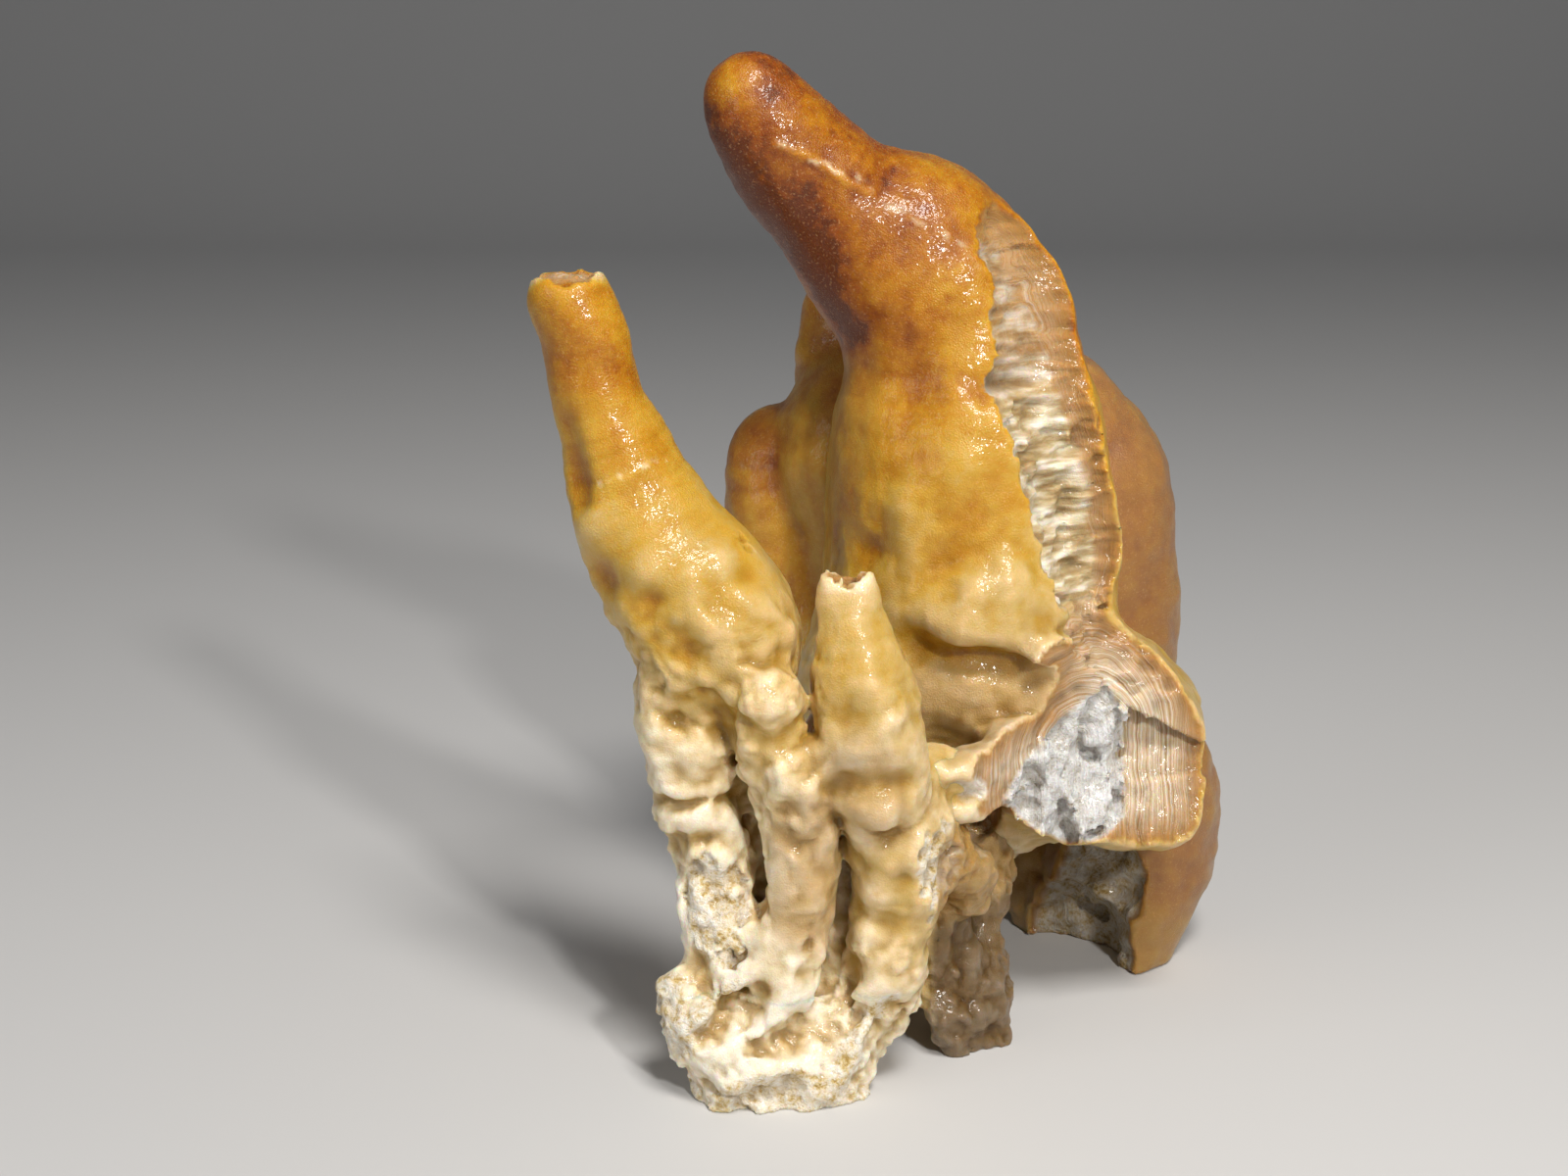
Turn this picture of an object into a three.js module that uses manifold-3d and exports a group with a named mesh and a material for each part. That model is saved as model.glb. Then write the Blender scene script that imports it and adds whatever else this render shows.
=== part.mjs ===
// A cluster of aragonite stalactites, broken from a cave roof and stood on its broken root.
// Every branch is a strand: a centre line of stations [x, y, z, radius]. The strands flow
// into one another as the calcium carbonate did, the fresh breaks are cut out of them, and
// the cluster is parted at its main forks.
// Millimetres, +X right, +Y back, +Z up, the foot of the cluster on z = 0.
import * as THREE from "three";
import { mergeVertices } from "three/addons/utils/BufferGeometryUtils.js";
import { ImprovedNoise } from "three/addons/math/ImprovedNoise.js";
import Module from "manifold-3d";

// Driving dimensions
const KERF = 0.3; // width of the cut at a fork
const FUSE = { trunks: 6, stems: 2.6, between: 4 }; // reach of the fillet where two strands meet
const SUBSTEPS = 3; // spheres between two stations of a strand
const LUMP_HEIGHT = 0.7; // relief of the lumpy skin
const LUMP_SIZE = 11; // distance from lump to lump
const LUMP_START = { x: 7.3, y: 1.9, z: 4.1 }; // where the pattern of lumps starts
const UNDER_FLOOR = 5; // how far the growth runs on below the floor before it is cut off flat
const MIDDLE = { x: 1.0, y: 3.2 }; // of the cluster's box, in the strands' coordinates
// Facet sizes along each axis: where the grid starts, then rows of [up to this coordinate, size].
// The low front is the finest, for its thin legs.
const GRID = {
  x: [[-78], [8, 4.95], [78, 7.0]],
  y: [[-62], [-20, 4.7], [70, 7.7]],
  z: [[-12], [84, 5.2], [194, 7.15]],
};
const BREAK_FACETS = 7; // facets in half a turn round a break
const FINEST_BREAK = 3.5; // facet size below which a break isn't cut finer
const SETTLE = { turns: 3, probe: 0.05, step: 1.3, flattest: 0.3 }; // how vertices slide onto the skin
const OUTSIZE = 400; // block that reaches past the cluster on every side

// The thick strands: the spire, the lobes behind it and the mass that they stand on.
const TRUNKS = {
  horn: [
    [-29.4, 2, 177.4, 8.2],
    [-26.6, 3, 173.0, 10.3],
    [-22.0, 5, 166.8, 12.2],
    [-13.6, 7, 158.0, 13.6],
    [-5.0, 8, 149.5, 16.0],
    [3.0, 8, 141.0, 18.0],
  ],
  spire: [
    [3.5, 10, 149.5, 16.0],
    [12.3, 11, 136.1, 19.4],
    [12.2, 9, 121.7, 23.4],
    [12.4, 8, 108.4, 26.8],
    [14.0, 8, 93.8, 28.2],
    [15.6, 8, 78.9, 26.4],
    [16.6, 8, 68.0, 25.2],
    [17.9, 9, 56.0, 24.8],
    [17, 11, 45, 20],
    [14, 14, 38, 14],
  ],
  skirt: [
    [1, -12, 84, 7],
    [12, -17, 85.5, 8],
    [25, -14, 87, 7],
  ],
  roll: [
    [3, -11, 69, 8],
    [14, -14.5, 69, 9],
    [25, -13, 71, 8],
  ],
  rear_tall: [
    [-9.7, 42, 136.3, 8.9],
    [-8.4, 42, 124.1, 12.2],
    [-4.6, 42, 105.6, 15.4],
    [0, 39, 85, 17],
    [4, 36, 62, 16],
  ],
  rear_mid: [
    [-7.5, 31, 112.8, 14.3],
    [-6.2, 30, 103.9, 19.0],
    [-3.0, 28, 91.0, 17.0],
    [-0.6, 26, 73.9, 16.1],
    [0, 24, 55, 16],
  ],
  rear_low: [
    [-23.4, 36, 103.0, 10.9],
    [-22.2, 34, 88.5, 13.0],
    [-17.0, 30, 72.7, 12.6],
    [-12, 24, 55, 13.4],
    [-12, 20, 38, 14],
    [-14, 20, 20, 15],
    [-15, 22, 2, 15],
  ],
  right_up: [
    [29.7, 30, 112.3, 15.4],
    [35.6, 27, 98.6, 19.5],
    [38.1, 26, 82.4, 19.2],
    [38.7, 25, 63.6, 18.8],
    [36, 25, 46, 17],
  ],
  right_low: [
    [48.2, 26, 46.0, 14.5],
    [51.7, 27, 33.0, 17.0],
    [50.9, 26, 20.0, 16.7],
    [46.5, 23, 9.0, 15.6],
    [43.0, 20, -3.0, 13.5],
  ],
  rear_right: [
    [22, 46, 104, 9],
    [22, 45, 90, 13],
    [20, 43, 72, 15],
    [18, 38, 52, 16],
  ],
  foot_wall: [
    [32, 43, 50, 12],
    [33, 40, 30, 11.5],
    [35, 39, 14, 11.5],
    [38, 36, 0, 11],
  ],
  stub: [
    [38, 18, 50, 23],
    [35, -8, 58, 21],
    [31, -32, 63, 17],
  ],
  core: [
    [-19, -8, 26, 11],
    [-11, -3, 42, 15],
    [-4, 0, 62, 18],
    [4, 4, 80, 20],
  ],
};

// The thin strands: fingers, legs, root and hanging sheets.
const STEMS = {
  web: [
    [0.9, -34, 59.0, 5.5],
    [10.1, -31, 58.4, 5.5],
    [19, -28, 58.5, 6.5],
    [28, -23, 63, 9.0],
  ],
  wing: [
    [3, -34, 45, 7],
    [9, -29, 40, 6.5],
    [11, -24, 34, 6],
  ],
  front: [
    [-11.8, -40, 94.5, 4.4],
    [-10.7, -41, 88.9, 6.1],
    [-9.7, -42, 81.7, 8.0],
    [-8.4, -42, 74.5, 9.3],
    [-7.1, -42, 66.7, 8.6],
    [-6.6, -43, 61.5, 9.0],
    [-4.9, -39, 55.4, 8.2],
    [-2.2, -38, 50.3, 9.9],
    [-1.2, -38, 44.7, 9.7],
    [-2.5, -38, 37.0, 8.2],
    [-4.1, -38, 31.3, 7.3],
    [-4.2, -38, 25.5, 7.3],
    [-4.6, -38, 19.6, 6.1],
  ],
  middle_leg: [
    [-26.1, -45, 76.5, 6.1],
    [-24.7, -42, 67.6, 6.4],
    [-21.6, -42, 62.2, 7.4],
    [-20.4, -42, 54.8, 6.6],
    [-19.5, -41, 47.8, 6.0],
    [-19.5, -41, 40.3, 6.0],
    [-20.9, -41, 32.7, 6.0],
    [-23.0, -42, 25.4, 6.0],
    [-25, -41, 18, 6],
  ],
  left_leg: [
    [-40.5, -34, 76.0, 8.6],
    [-40.1, -34, 68.6, 8.6],
    [-39.5, -34, 61.1, 7.8],
    [-38.7, -34, 53.6, 7.3],
    [-37.3, -34, 47.9, 7.2],
    [-35.6, -35, 42.2, 6.4],
    [-35.2, -37, 36.3, 6.8],
    [-34.6, -38, 28.4, 6.4],
    [-34.7, -38, 20.6, 6.5],
  ],
  left_inner: [
    [-31, -30, 72, 7],
    [-29, -29, 58, 5],
    [-28, -28, 44, 5.2],
    [-27, -28, 30, 5.6],
    [-27, -30, 16, 7],
  ],
  right_inner: [
    [-13, -31, 66, 6],
    [-12, -29, 52, 5],
    [-12, -28, 40, 5],
    [-12, -29, 28, 5],
    [-13, -31, 14, 7],
  ],
  left: [
    [-61.3, -30, 144.5, 6.1],
    [-59.0, -30, 138.6, 6.9],
    [-56.7, -30, 132.1, 8.3],
    [-55.2, -30, 126.0, 8.2],
    [-52.8, -30, 118.9, 9.4],
    [-49.0, -30, 108.6, 11.5],
    [-44.5, -31, 99.5, 13.5],
    [-38.9, -32, 92.3, 14.9],
    [-34.4, -33, 84.8, 14.3],
    [-33.2, -33, 77.5, 11.5],
  ],
  root: [
    [-42.5, -41, 16.0, 5.5],
    [-36, -42, 10.5, 7.6],
    [-27, -41, 7, 9.5],
    [-17, -38, 8.5, 9],
    [-8, -35, 12.5, 7.3],
  ],
  root_front: [
    [-32, -41, 3, 7.5],
    [-23, -41.5, 1, 8.3],
    [-14, -40, 3, 7],
  ],
  tongue: [
    [-6, -30, 15, 5],
    [-9.5, -27, 7, 5.5],
    [-12, -27, -2, 5.5],
  ],
  root_back: [
    [-24, -30, 7, 9],
    [-20, -12, 6, 11],
    [-17, 6, 4, 13],
  ],
  curtain: [
    [4, -25, 27, 5],
    [5.5, -22, 17, 4.6],
    [8, -24, 8, 4.2],
    [10.3, -26, 2, 3.4],
    [10.5, -26, -4, 3.2],
  ],
  curtain_back: [
    [14, -4, 36, 8],
    [15, -10, 22, 7],
    [15, -17, 10, 6],
    [16, -20, -4, 5],
  ],
};

// Breaks: strands of the same kind that are cut out of the growth with a sharp edge.
const BREAKS = {
  spire_scar: [
    [33, -17, 168, 14],
    [27.8, -8, 157.5, 16],
    [31.1, -8, 148, 16],
    [31.7, -14.5, 130, 16],
    [36.4, -16, 114, 16],
    [40.1, -15, 97, 16],
    [46, -17, 84, 16],
    [54, -22, 76, 14],
  ],
  stub_face: [
    [61, -70, 59, 60],
    [61, -70, 61, 60],
  ],
  stub_core: [
    [35, -28, 66, 9],
    [28, -29, 55, 11],
    [30, -27, 44, 9],
  ],
  stub_step: [
    [44, -23, 60, 9],
    [50, -19, 48, 10],
    [50, -20, 36, 9],
  ],
  hollow: [
    [38, -40, 16, 17],
    [36, -14, 19, 17],
    [36, 0, 19, 16],
    [36, 6, 20, 15],
  ],
  hollow_foot: [
    [38, -40, 2, 15],
    [36, -14, 3, 15],
    [33, 13, 3, 15],
  ],
  pocket: [
    [18, -40, 46, 5],
    [15, -22, 46, 5],
    [14, -12, 42, 5],
  ],
  left_tip: [
    [-61.5, -31, 154.6, 7.2],
    [-61.5, -31, 157.6, 7.2],
  ],
  front_tip: [
    [-12.2, -41, 101.2, 4.6],
    [-12.2, -41, 104.2, 4.6],
  ],
};

// Forks: where the cluster is parted, as thin plates that face along a normal.
const FORKS = {
  root: { at: [-16, 0, 21], facing: [0, 0, 1], wide: 88, tall: 120 },
  left: { at: [-37, -33, 78.6], facing: [-0.36, 0.06, 0.93], wide: 40, tall: 50 },
  left_leg: { at: [-31.5, -36, 51.4], facing: [1, 0, 0], wide: 48, tall: 61.6 },
  middle_leg: { at: [-13.6, -38, 38], facing: [0.97, 0.24, 0], wide: 34, tall: 34.6 },
  knob: { at: [-16.8, -38, 69.2], facing: [0.95, 0.24, 0.21], wide: 34, tall: 30.4 },
  front: { at: [2.6, -30.2, 47], facing: [0.6, 0.8, 0], wide: 26, tall: 53 },
  rear_left: { at: [-14.05, 18.6, 78.4], facing: [-0.661, 0.751, 0], wide: 74.5, tall: 115.2 },
  rear_right: { at: [39.6, 11.1, 67.5], facing: [0.773, 0.636, 0], wide: 83, tall: 145 },
  rear: { at: [12, 54, 76], facing: [0.99, 0.12, 0], wide: 25, tall: 110.4 },
};

// The pieces that the forks leave: a point inside each, and its colour and polish, from orange
// glassy tips to a chalky root.
const PIECES = {
  main_stalactite: { inside: [14, 8, 94], color: 0xb5742a, roughness: 0.35 },
  rear_left_stalactite: { inside: [-14, 32, 80], color: 0xa96a24, roughness: 0.35 },
  rear_right_stalactite: { inside: [42, 26, 80], color: 0xb07035, roughness: 0.35 },
  left_stalactite: { inside: [-50, -30, 110], color: 0xb8782c, roughness: 0.35 },
  left_leg: { inside: [-39, -34, 55], color: 0xcfae78, roughness: 0.4 },
  middle_leg: { inside: [-20, -41, 48], color: 0xc9a66c, roughness: 0.4 },
  front_stalactite: { inside: [-8, -42, 70], color: 0xc69c52, roughness: 0.4 },
  curtain: { inside: [10, -21, 8], color: 0xb9a27c, roughness: 0.6 },
  root: { inside: [-26, -41, 8], color: 0xd8c8a4, roughness: 0.7 },
};

// The strand's centre line and radius, as short straight lengths.
function lengthsOf(stations) {
  const centres = stations.map(([x, y, z]) => new THREE.Vector3(x, y, z));
  const line = new THREE.CatmullRomCurve3(centres, false, "catmullrom");
  const radius = new THREE.SplineCurve(stations.map(([, , , r], i) => new THREE.Vector2(i, r)));
  const steps = (stations.length - 1) * SUBSTEPS;
  const beads = [];
  for (let i = 0; i <= steps; i++) {
    beads.push({ at: line.getPoint(i / steps), r: radius.getPoint(i / steps).y });
  }
  return beads.slice(1).map((bead, i) => ({ from: beads[i], to: bead }));
}

// Distance from a point to the strand's skin, below zero inside it.
function strandDistance(lengths, p) {
  let nearest = Infinity;
  for (const { from, to } of lengths) {
    const [ax, ay, az] = [to.at.x - from.at.x, to.at.y - from.at.y, to.at.z - from.at.z];
    const [bx, by, bz] = [p.x - from.at.x, p.y - from.at.y, p.z - from.at.z];
    const along = (ax * bx + ay * by + az * bz) / (ax * ax + ay * ay + az * az);
    const t = Math.min(1, Math.max(0, along));
    const off = Math.hypot(bx - ax * t, by - ay * t, bz - az * t);
    nearest = Math.min(nearest, off - (from.r + (to.r - from.r) * t));
  }
  return nearest;
}

// The smaller of two distances, with a fillet where they are alike.
function fuse(a, b, reach) {
  const h = Math.max(0, reach - Math.abs(a - b));
  return Math.min(a, b) - (h * h) / (4 * reach);
}

function fuseAll(strands, p, reach) {
  const distances = strands.map((lengths) => strandDistance(lengths, p));
  return distances.reduce((a, b) => fuse(a, b, reach));
}

const noise = new ImprovedNoise();
function lumps(p) {
  const [u, v, w] = ["x", "y", "z"].map((axis) => p[axis] / LUMP_SIZE + LUMP_START[axis]);
  return LUMP_HEIGHT * noise.noise(u, v, w);
}

// Distance from a point to the skin of the whole growth.
const trunks = Object.values(TRUNKS).map(lengthsOf);
const stems = Object.values(STEMS).map(lengthsOf);
function skin(p) {
  const growth = fuse(fuseAll(trunks, p, FUSE.trunks), fuseAll(stems, p, FUSE.stems), FUSE.between);
  return Math.max(growth + lumps(p), -UNDER_FLOOR - p.z);
}

// Grid planes along one axis, from rows of [up to, size].
function planes([[lowest], ...rows]) {
  const made = [lowest];
  for (const [upTo, size] of rows) {
    while (made.at(-1) < upTo) made.push(made.at(-1) + size);
  }
  return made;
}

// A grid cell's corners are numbered 0 to 7, with one bit for each axis, and an edge is named
// after its two corners.
const AXES = [1, 2, 4];
const CORNERS = [0, 1, 2, 3, 4, 5, 6, 7].map((n) => [n & 1, (n >> 1) & 1, n >> 2]);
const EDGE_NAMES = 64;
const edgeName = (a, b) => Math.min(a, b) * CORNERS.length + Math.max(a, b);
const cornersOf = (edge) => [Math.floor(edge / CORNERS.length), edge % CORNERS.length];
const FACES = AXES.flatMap((axis) => {
  const [u, v] = AXES.filter((other) => other !== axis);
  return [0, axis].map((side) => [side, side + u, side + u + v, side + v]);
});

// The edges of one grid cell that the surface crosses, gathered into its separate sheets. Where
// two inside corners of a face lie across from each other, the surface keeps them apart.
function sheetsOf(corner) {
  const inside = corner.map((value) => value < 0);
  const sheet = new Map();
  const join = (a, b) => {
    const [kept, lost] = [sheet.get(a) ?? a, sheet.get(b) ?? b];
    for (const [edge, mark] of [...sheet, [a, kept], [b, lost]]) {
      sheet.set(edge, mark === lost ? kept : mark);
    }
  };
  for (const face of FACES) {
    const sides = face.map((a, n) => [a, face[(n + 1) % 4]]);
    const crossed = sides.filter(([a, b]) => inside[a] !== inside[b]);
    if (crossed.length === 2) join(edgeName(...crossed[0]), edgeName(...crossed[1]));
    if (crossed.length < 4) continue;
    face.forEach((a, n) => {
      if (inside[a]) join(edgeName(a, face[(n + 1) % 4]), edgeName(a, face[(n + 3) % 4]));
    });
  }
  return sheet;
}

// The closed surface where the field is zero: a vertex for each sheet of it in a grid cell, and
// a four-sided facet round each grid edge that it crosses.
function surfaceOf(field, xs, ys, zs) {
  const index = (i, j, k) => i + xs.length * (j + ys.length * k);
  const strideOf = { 1: 1, 2: xs.length, 4: xs.length * ys.length };
  const place = (i, j, k) => new THREE.Vector3(xs[i], ys[j], zs[k]);
  const everyCell = (first, visit) => {
    for (let k = first; k < zs.length - 1; k++) {
      for (let j = first; j < ys.length - 1; j++) {
        for (let i = first; i < xs.length - 1; i++) visit(i, j, k);
      }
    }
  };
  const value = zs.flatMap((_, k) => ys.flatMap((_, j) => xs.map((_, i) => field(place(i, j, k)))));

  const points = [];
  const vertexOf = new Map();
  everyCell(0, (i, j, k) => {
    const corner = CORNERS.map(([a, b, c]) => value[index(i + a, j + b, k + c)]);
    if (corner.every((v) => v < 0) || corner.every((v) => v >= 0)) return;
    const sheet = sheetsOf(corner);
    for (const mark of new Set(sheet.values())) {
      const edges = [...sheet.keys()].filter((edge) => sheet.get(edge) === mark);
      const mean = new THREE.Vector3();
      for (const edge of edges) {
        const [a, b] = cornersOf(edge);
        const [p, q] = [a, b].map((n) => place(i + CORNERS[n][0], j + CORNERS[n][1], k + CORNERS[n][2]));
        mean.add(p.lerp(q, corner[a] / (corner[a] - corner[b])));
        vertexOf.set(index(i, j, k) * EDGE_NAMES + edge, points.length);
      }
      points.push(settle(field, mean.divideScalar(edges.length)));
    }
  });

  const triangles = [];
  everyCell(1, (i, j, k) => {
    const here = index(i, j, k);
    for (const [axis, u, v] of [[1, 2, 4], [2, 4, 1], [4, 1, 2]]) {
      const inside = value[here] < 0;
      if (inside === value[here + strideOf[axis]] < 0) continue;
      const ring = [0, u, u + v, v].map((corner) => {
        const cell = here - (corner & u ? strideOf[u] : 0) - (corner & v ? strideOf[v] : 0);
        return vertexOf.get(cell * EDGE_NAMES + edgeName(corner, corner + axis));
      });
      if (!inside) ring.reverse();
      const [p, q, r, s] = ring;
      const shorter = points[p].distanceTo(points[r]) < points[q].distanceTo(points[s]);
      triangles.push(...(shorter ? [p, q, r, p, r, s] : [q, r, s, q, s, p]));
    }
  });
  const geometry = new THREE.BufferGeometry().setFromPoints(points);
  geometry.setIndex(triangles);
  return geometry;
}

// Slides a point onto the zero surface along the field's slope.
function settle(field, point) {
  const { probe } = SETTLE;
  for (let turn = 0; turn < SETTLE.turns; turn++) {
    const here = field(point);
    const slope = new THREE.Vector3(
      field(point.clone().setX(point.x + probe)) - here,
      field(point.clone().setY(point.y + probe)) - here,
      field(point.clone().setZ(point.z + probe)) - here,
    ).divideScalar(probe);
    const steepness = Math.max(SETTLE.flattest, slope.lengthSq());
    point.add(slope.multiplyScalar(-here / steepness).clampLength(0, SETTLE.step));
  }
  return point;
}

const wasm = await Module();
wasm.setup();

// A closed geometry as a solid that can be joined and cut.
function solidOf(geometry) {
  const bare = geometry.clone();
  bare.deleteAttribute("normal");
  bare.deleteAttribute("uv");
  const merged = mergeVertices(bare, 1e-4);
  return new wasm.Manifold(
    new wasm.Mesh({
      numProp: 3,
      vertProperties: merged.attributes.position.array,
      triVerts: new Uint32Array(merged.index.array),
    }),
  );
}

function geometryOf(solid) {
  const mesh = solid.getMesh();
  const geometry = new THREE.BufferGeometry();
  geometry.setAttribute("position", new THREE.BufferAttribute(new Float32Array(mesh.vertProperties), 3));
  geometry.setIndex(new THREE.BufferAttribute(new Uint32Array(mesh.triVerts), 1));
  return geometry;
}

// A break as a solid: its strand's surface on a grid of its own.
function breakSolid(stations) {
  const lengths = lengthsOf(stations);
  const size = Math.max(FINEST_BREAK, (Math.PI * stations[0][3]) / BREAK_FACETS);
  const grid = [0, 1, 2].map((axis) => {
    const low = Math.min(...stations.map((station) => station[axis] - station[3]));
    const high = Math.max(...stations.map((station) => station[axis] + station[3]));
    return planes([[low - 2 * size], [high + 2 * size, size]]);
  });
  return solidOf(surfaceOf((p) => strandDistance(lengths, p), ...grid));
}

// The kerf of a fork: a plate across the fork's direction.
function kerfSolid({ at, facing, wide, tall }) {
  const normal = new THREE.Vector3(...facing).normalize();
  const level = Math.abs(normal.z) > Math.abs(normal.x) + Math.abs(normal.y);
  const across = new THREE.Vector3(0, level ? 1 : 0, level ? 0 : 1).cross(normal).normalize();
  const turn = new THREE.Matrix4().makeBasis(across, normal.clone().cross(across), normal);
  return solidOf(new THREE.BoxGeometry(wide, tall, KERF).applyMatrix4(turn).translate(...at));
}

const cutAll = (solid, cutters) => cutters.reduce((left, cutter) => left.subtract(cutter), solid);

const grown = solidOf(surfaceOf(skin, planes(GRID.x), planes(GRID.y), planes(GRID.z)));
const underFloor = solidOf(new THREE.BoxGeometry(OUTSIZE, OUTSIZE, OUTSIZE).translate(0, 0, -OUTSIZE / 2));
const broken = cutAll(grown, [underFloor, ...Object.values(BREAKS).map(breakSolid)]);
const bodies = cutAll(broken, Object.values(FORKS).map(kerfSolid)).decompose();

const cluster = new THREE.Group();
cluster.position.set(-MIDDLE.x, -MIDDLE.y, 0);
for (const [name, { inside, color, roughness }] of Object.entries(PIECES)) {
  const probe = solidOf(new THREE.OctahedronGeometry(1).translate(...inside));
  const body = bodies.find((candidate) => candidate.intersect(probe).volume() > 0);
  if (!body) throw new Error(`${name}: no piece at ${inside}`);
  bodies.splice(bodies.indexOf(body), 1);
  const material = new THREE.MeshStandardMaterial({ color, roughness, metalness: 0 });
  const piece = new THREE.Mesh(geometryOf(body), material);
  piece.name = name;
  cluster.add(piece);
}
if (bodies.length > 0) throw new Error(`${bodies.length} pieces are left over`);

export default cluster;
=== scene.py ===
import math
import bpy
import numpy as np
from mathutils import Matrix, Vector


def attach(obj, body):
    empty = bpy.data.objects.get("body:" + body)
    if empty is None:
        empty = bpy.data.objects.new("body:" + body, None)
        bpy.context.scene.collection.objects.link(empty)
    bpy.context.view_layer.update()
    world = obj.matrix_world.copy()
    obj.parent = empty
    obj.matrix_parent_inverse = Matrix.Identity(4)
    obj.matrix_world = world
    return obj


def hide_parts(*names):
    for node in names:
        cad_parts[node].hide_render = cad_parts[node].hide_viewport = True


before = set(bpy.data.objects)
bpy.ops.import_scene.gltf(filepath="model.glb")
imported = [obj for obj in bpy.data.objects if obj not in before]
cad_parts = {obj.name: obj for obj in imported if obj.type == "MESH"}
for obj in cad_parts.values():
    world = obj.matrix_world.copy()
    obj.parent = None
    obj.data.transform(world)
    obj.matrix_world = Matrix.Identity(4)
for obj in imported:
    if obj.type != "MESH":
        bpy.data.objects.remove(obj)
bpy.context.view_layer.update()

# ------------------------------------------------------------------------------
# The table and the light. The specimen stands on a plain pale table that curves up behind it,
# under a soft key lamp. A small lamp in front finds the wet crystal faces, and a wide one fills.

camera_data = bpy.data.cameras.new("camera")
camera_data.sensor_width = 36
camera_data.lens = 50
camera_data.clip_start = 0.01
camera = bpy.data.objects.new("camera", camera_data)
camera.location = (-0.0240, -0.4089, 0.1937)
camera_tilt = 75  # degrees up from straight down
camera.rotation_euler = (math.radians(camera_tilt), 0, 0)
bpy.context.scene.collection.objects.link(camera)
bpy.context.scene.camera = camera

table_width, table_front, table_back, cove_radius, wall_height = 6.0, -2.5, 1.4, 0.7, 3.5
cove_steps = 12
profile = [(table_front, 0.0), (table_back, 0.0)]
for step in range(1, cove_steps + 1):
    angle = math.radians(90 * step / cove_steps)
    profile.append((table_back + cove_radius * math.sin(angle), cove_radius * (1 - math.cos(angle))))
profile.append((table_back + cove_radius, wall_height))
corners = [(side * table_width / 2, y, z) for y, z in profile for side in (-1, 1)]
strips = [(2 * i, 2 * i + 1, 2 * i + 3, 2 * i + 2) for i in range(len(profile) - 1)]
table_mesh = bpy.data.meshes.new("table")
table_mesh.from_pydata(corners, [], strips)
table_mesh.polygons.foreach_set("use_smooth", [True] * len(strips))
table = bpy.data.objects.new("table", table_mesh)
bpy.context.scene.collection.objects.link(table)
table_paint = bpy.data.materials.new("pale_table")
table_paint.use_nodes = True
table_finish = table_paint.node_tree.nodes["Principled BSDF"]
table_finish.inputs["Base Color"].default_value = (0.60, 0.595, 0.59, 1)
table_finish.inputs["Roughness"].default_value = 0.8
table_mesh.materials.append(table_paint)

studio = bpy.data.worlds.new("studio")
studio.use_nodes = True
air = studio.node_tree.nodes["Background"]
air.inputs["Color"].default_value = (0.92, 0.95, 1.0, 1)
air.inputs["Strength"].default_value = 0.10
bpy.context.scene.world = studio
bpy.context.scene.view_settings.view_transform = "Standard"

lamp_target = Vector((0, 0, 0.09))


def soft_lamp(name, place, size, power, colour):
    """A square soft lamp that looks at the middle of the specimen."""
    data = bpy.data.lights.new(name, "AREA")
    data.size = size
    data.energy = power
    data.color = colour
    lamp = bpy.data.objects.new(name, data)
    lamp.location = place
    lamp.rotation_euler = (lamp_target - Vector(place)).to_track_quat("-Z", "Y").to_euler()
    bpy.context.scene.collection.objects.link(lamp)


soft_lamp("key_lamp", (0.16, -0.50, 0.95), 0.26, 8.4, (1.0, 0.97, 0.93))
soft_lamp("front_lamp", (0.24, -0.60, 0.44), 0.05, 2.7, (1.0, 0.98, 0.95))
soft_lamp("fill_lamp", (-0.8, -0.6, 0.45), 0.5, 1.9, (0.93, 0.96, 1.0))

# ------------------------------------------------------------------------------
# The spire with the stub at its foot: aragonite, laid down in thin layers over a drip path. It is
# grown as strands of stations [x, y, z, radius, tone] in millimetres, and its broken side and foot
# are strands cut out of it. Tone is how far iron has stained it, from 0, cream, to 1, dark amber;
# in dents and on the horn's underside and left flank it also carries painted shade.

FAR = 99.0  # a distance that stands for out of reach
middle = np.array([1, 3.2, 0])  # of the cluster's box, in the strands' coordinates


def beads(stations, steps=3):
    """A strand's stations joined by a smooth curve, as closely spaced beads."""
    s = np.array(stations, float)
    s = np.vstack([2 * s[0] - s[1], s, 2 * s[-1] - s[-2]])
    made = []
    for i in range(1, len(s) - 2):
        a, b, c, d = s[i - 1], s[i], s[i + 1], s[i + 2]
        for t in np.arange(steps) / steps:
            bend = 2 * a - 5 * b + 4 * c - d + t * (3 * b - a - 3 * c + d)
            made.append(b + 0.5 * t * (c - a + t * bend))
    return np.array(made + [s[-2]])


def to_strand(points, stations, reach=8.0):
    """How far points lie outside a strand, below zero inside it, and the strand's tone nearest them."""
    line = beads(stations)
    away, tone = np.full(len(points), FAR), np.zeros(len(points))
    room = line[:, 3:4] + reach
    box = (points > (line[:, :3] - room).min(0)) & (points < (line[:, :3] + room).max(0))
    close = np.flatnonzero(box.all(1))
    p, best, stain = points[close], away[close], tone[close]
    for a, b in zip(line[:-1], line[1:]):
        room = max(a[3], b[3]) + reach
        box = (p > np.minimum(a[:3], b[:3]) - room) & (p < np.maximum(a[:3], b[:3]) + room)
        k = np.flatnonzero(box.all(1))
        along = b[:3] - a[:3]
        t = np.clip((p[k] - a[:3]) @ along / (along @ along), 0, 1)
        off = np.linalg.norm(p[k] - a[:3] - t[:, None] * along, axis=1) - a[3] - t * (b[3] - a[3])
        nearer = off < best[k]
        best[k[nearer]] = off[nearer]
        stain[k[nearer]] = (a[4] + t * (b[4] - a[4]))[nearer]
    away[close], tone[close] = best, stain
    return away, tone


def fuse(a, b, reach):
    """The smaller of two distances, with a fillet where they are alike."""
    h = np.maximum(0, reach - np.abs(a - b))
    return np.minimum(a, b) - h * h / (4 * reach)


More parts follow.
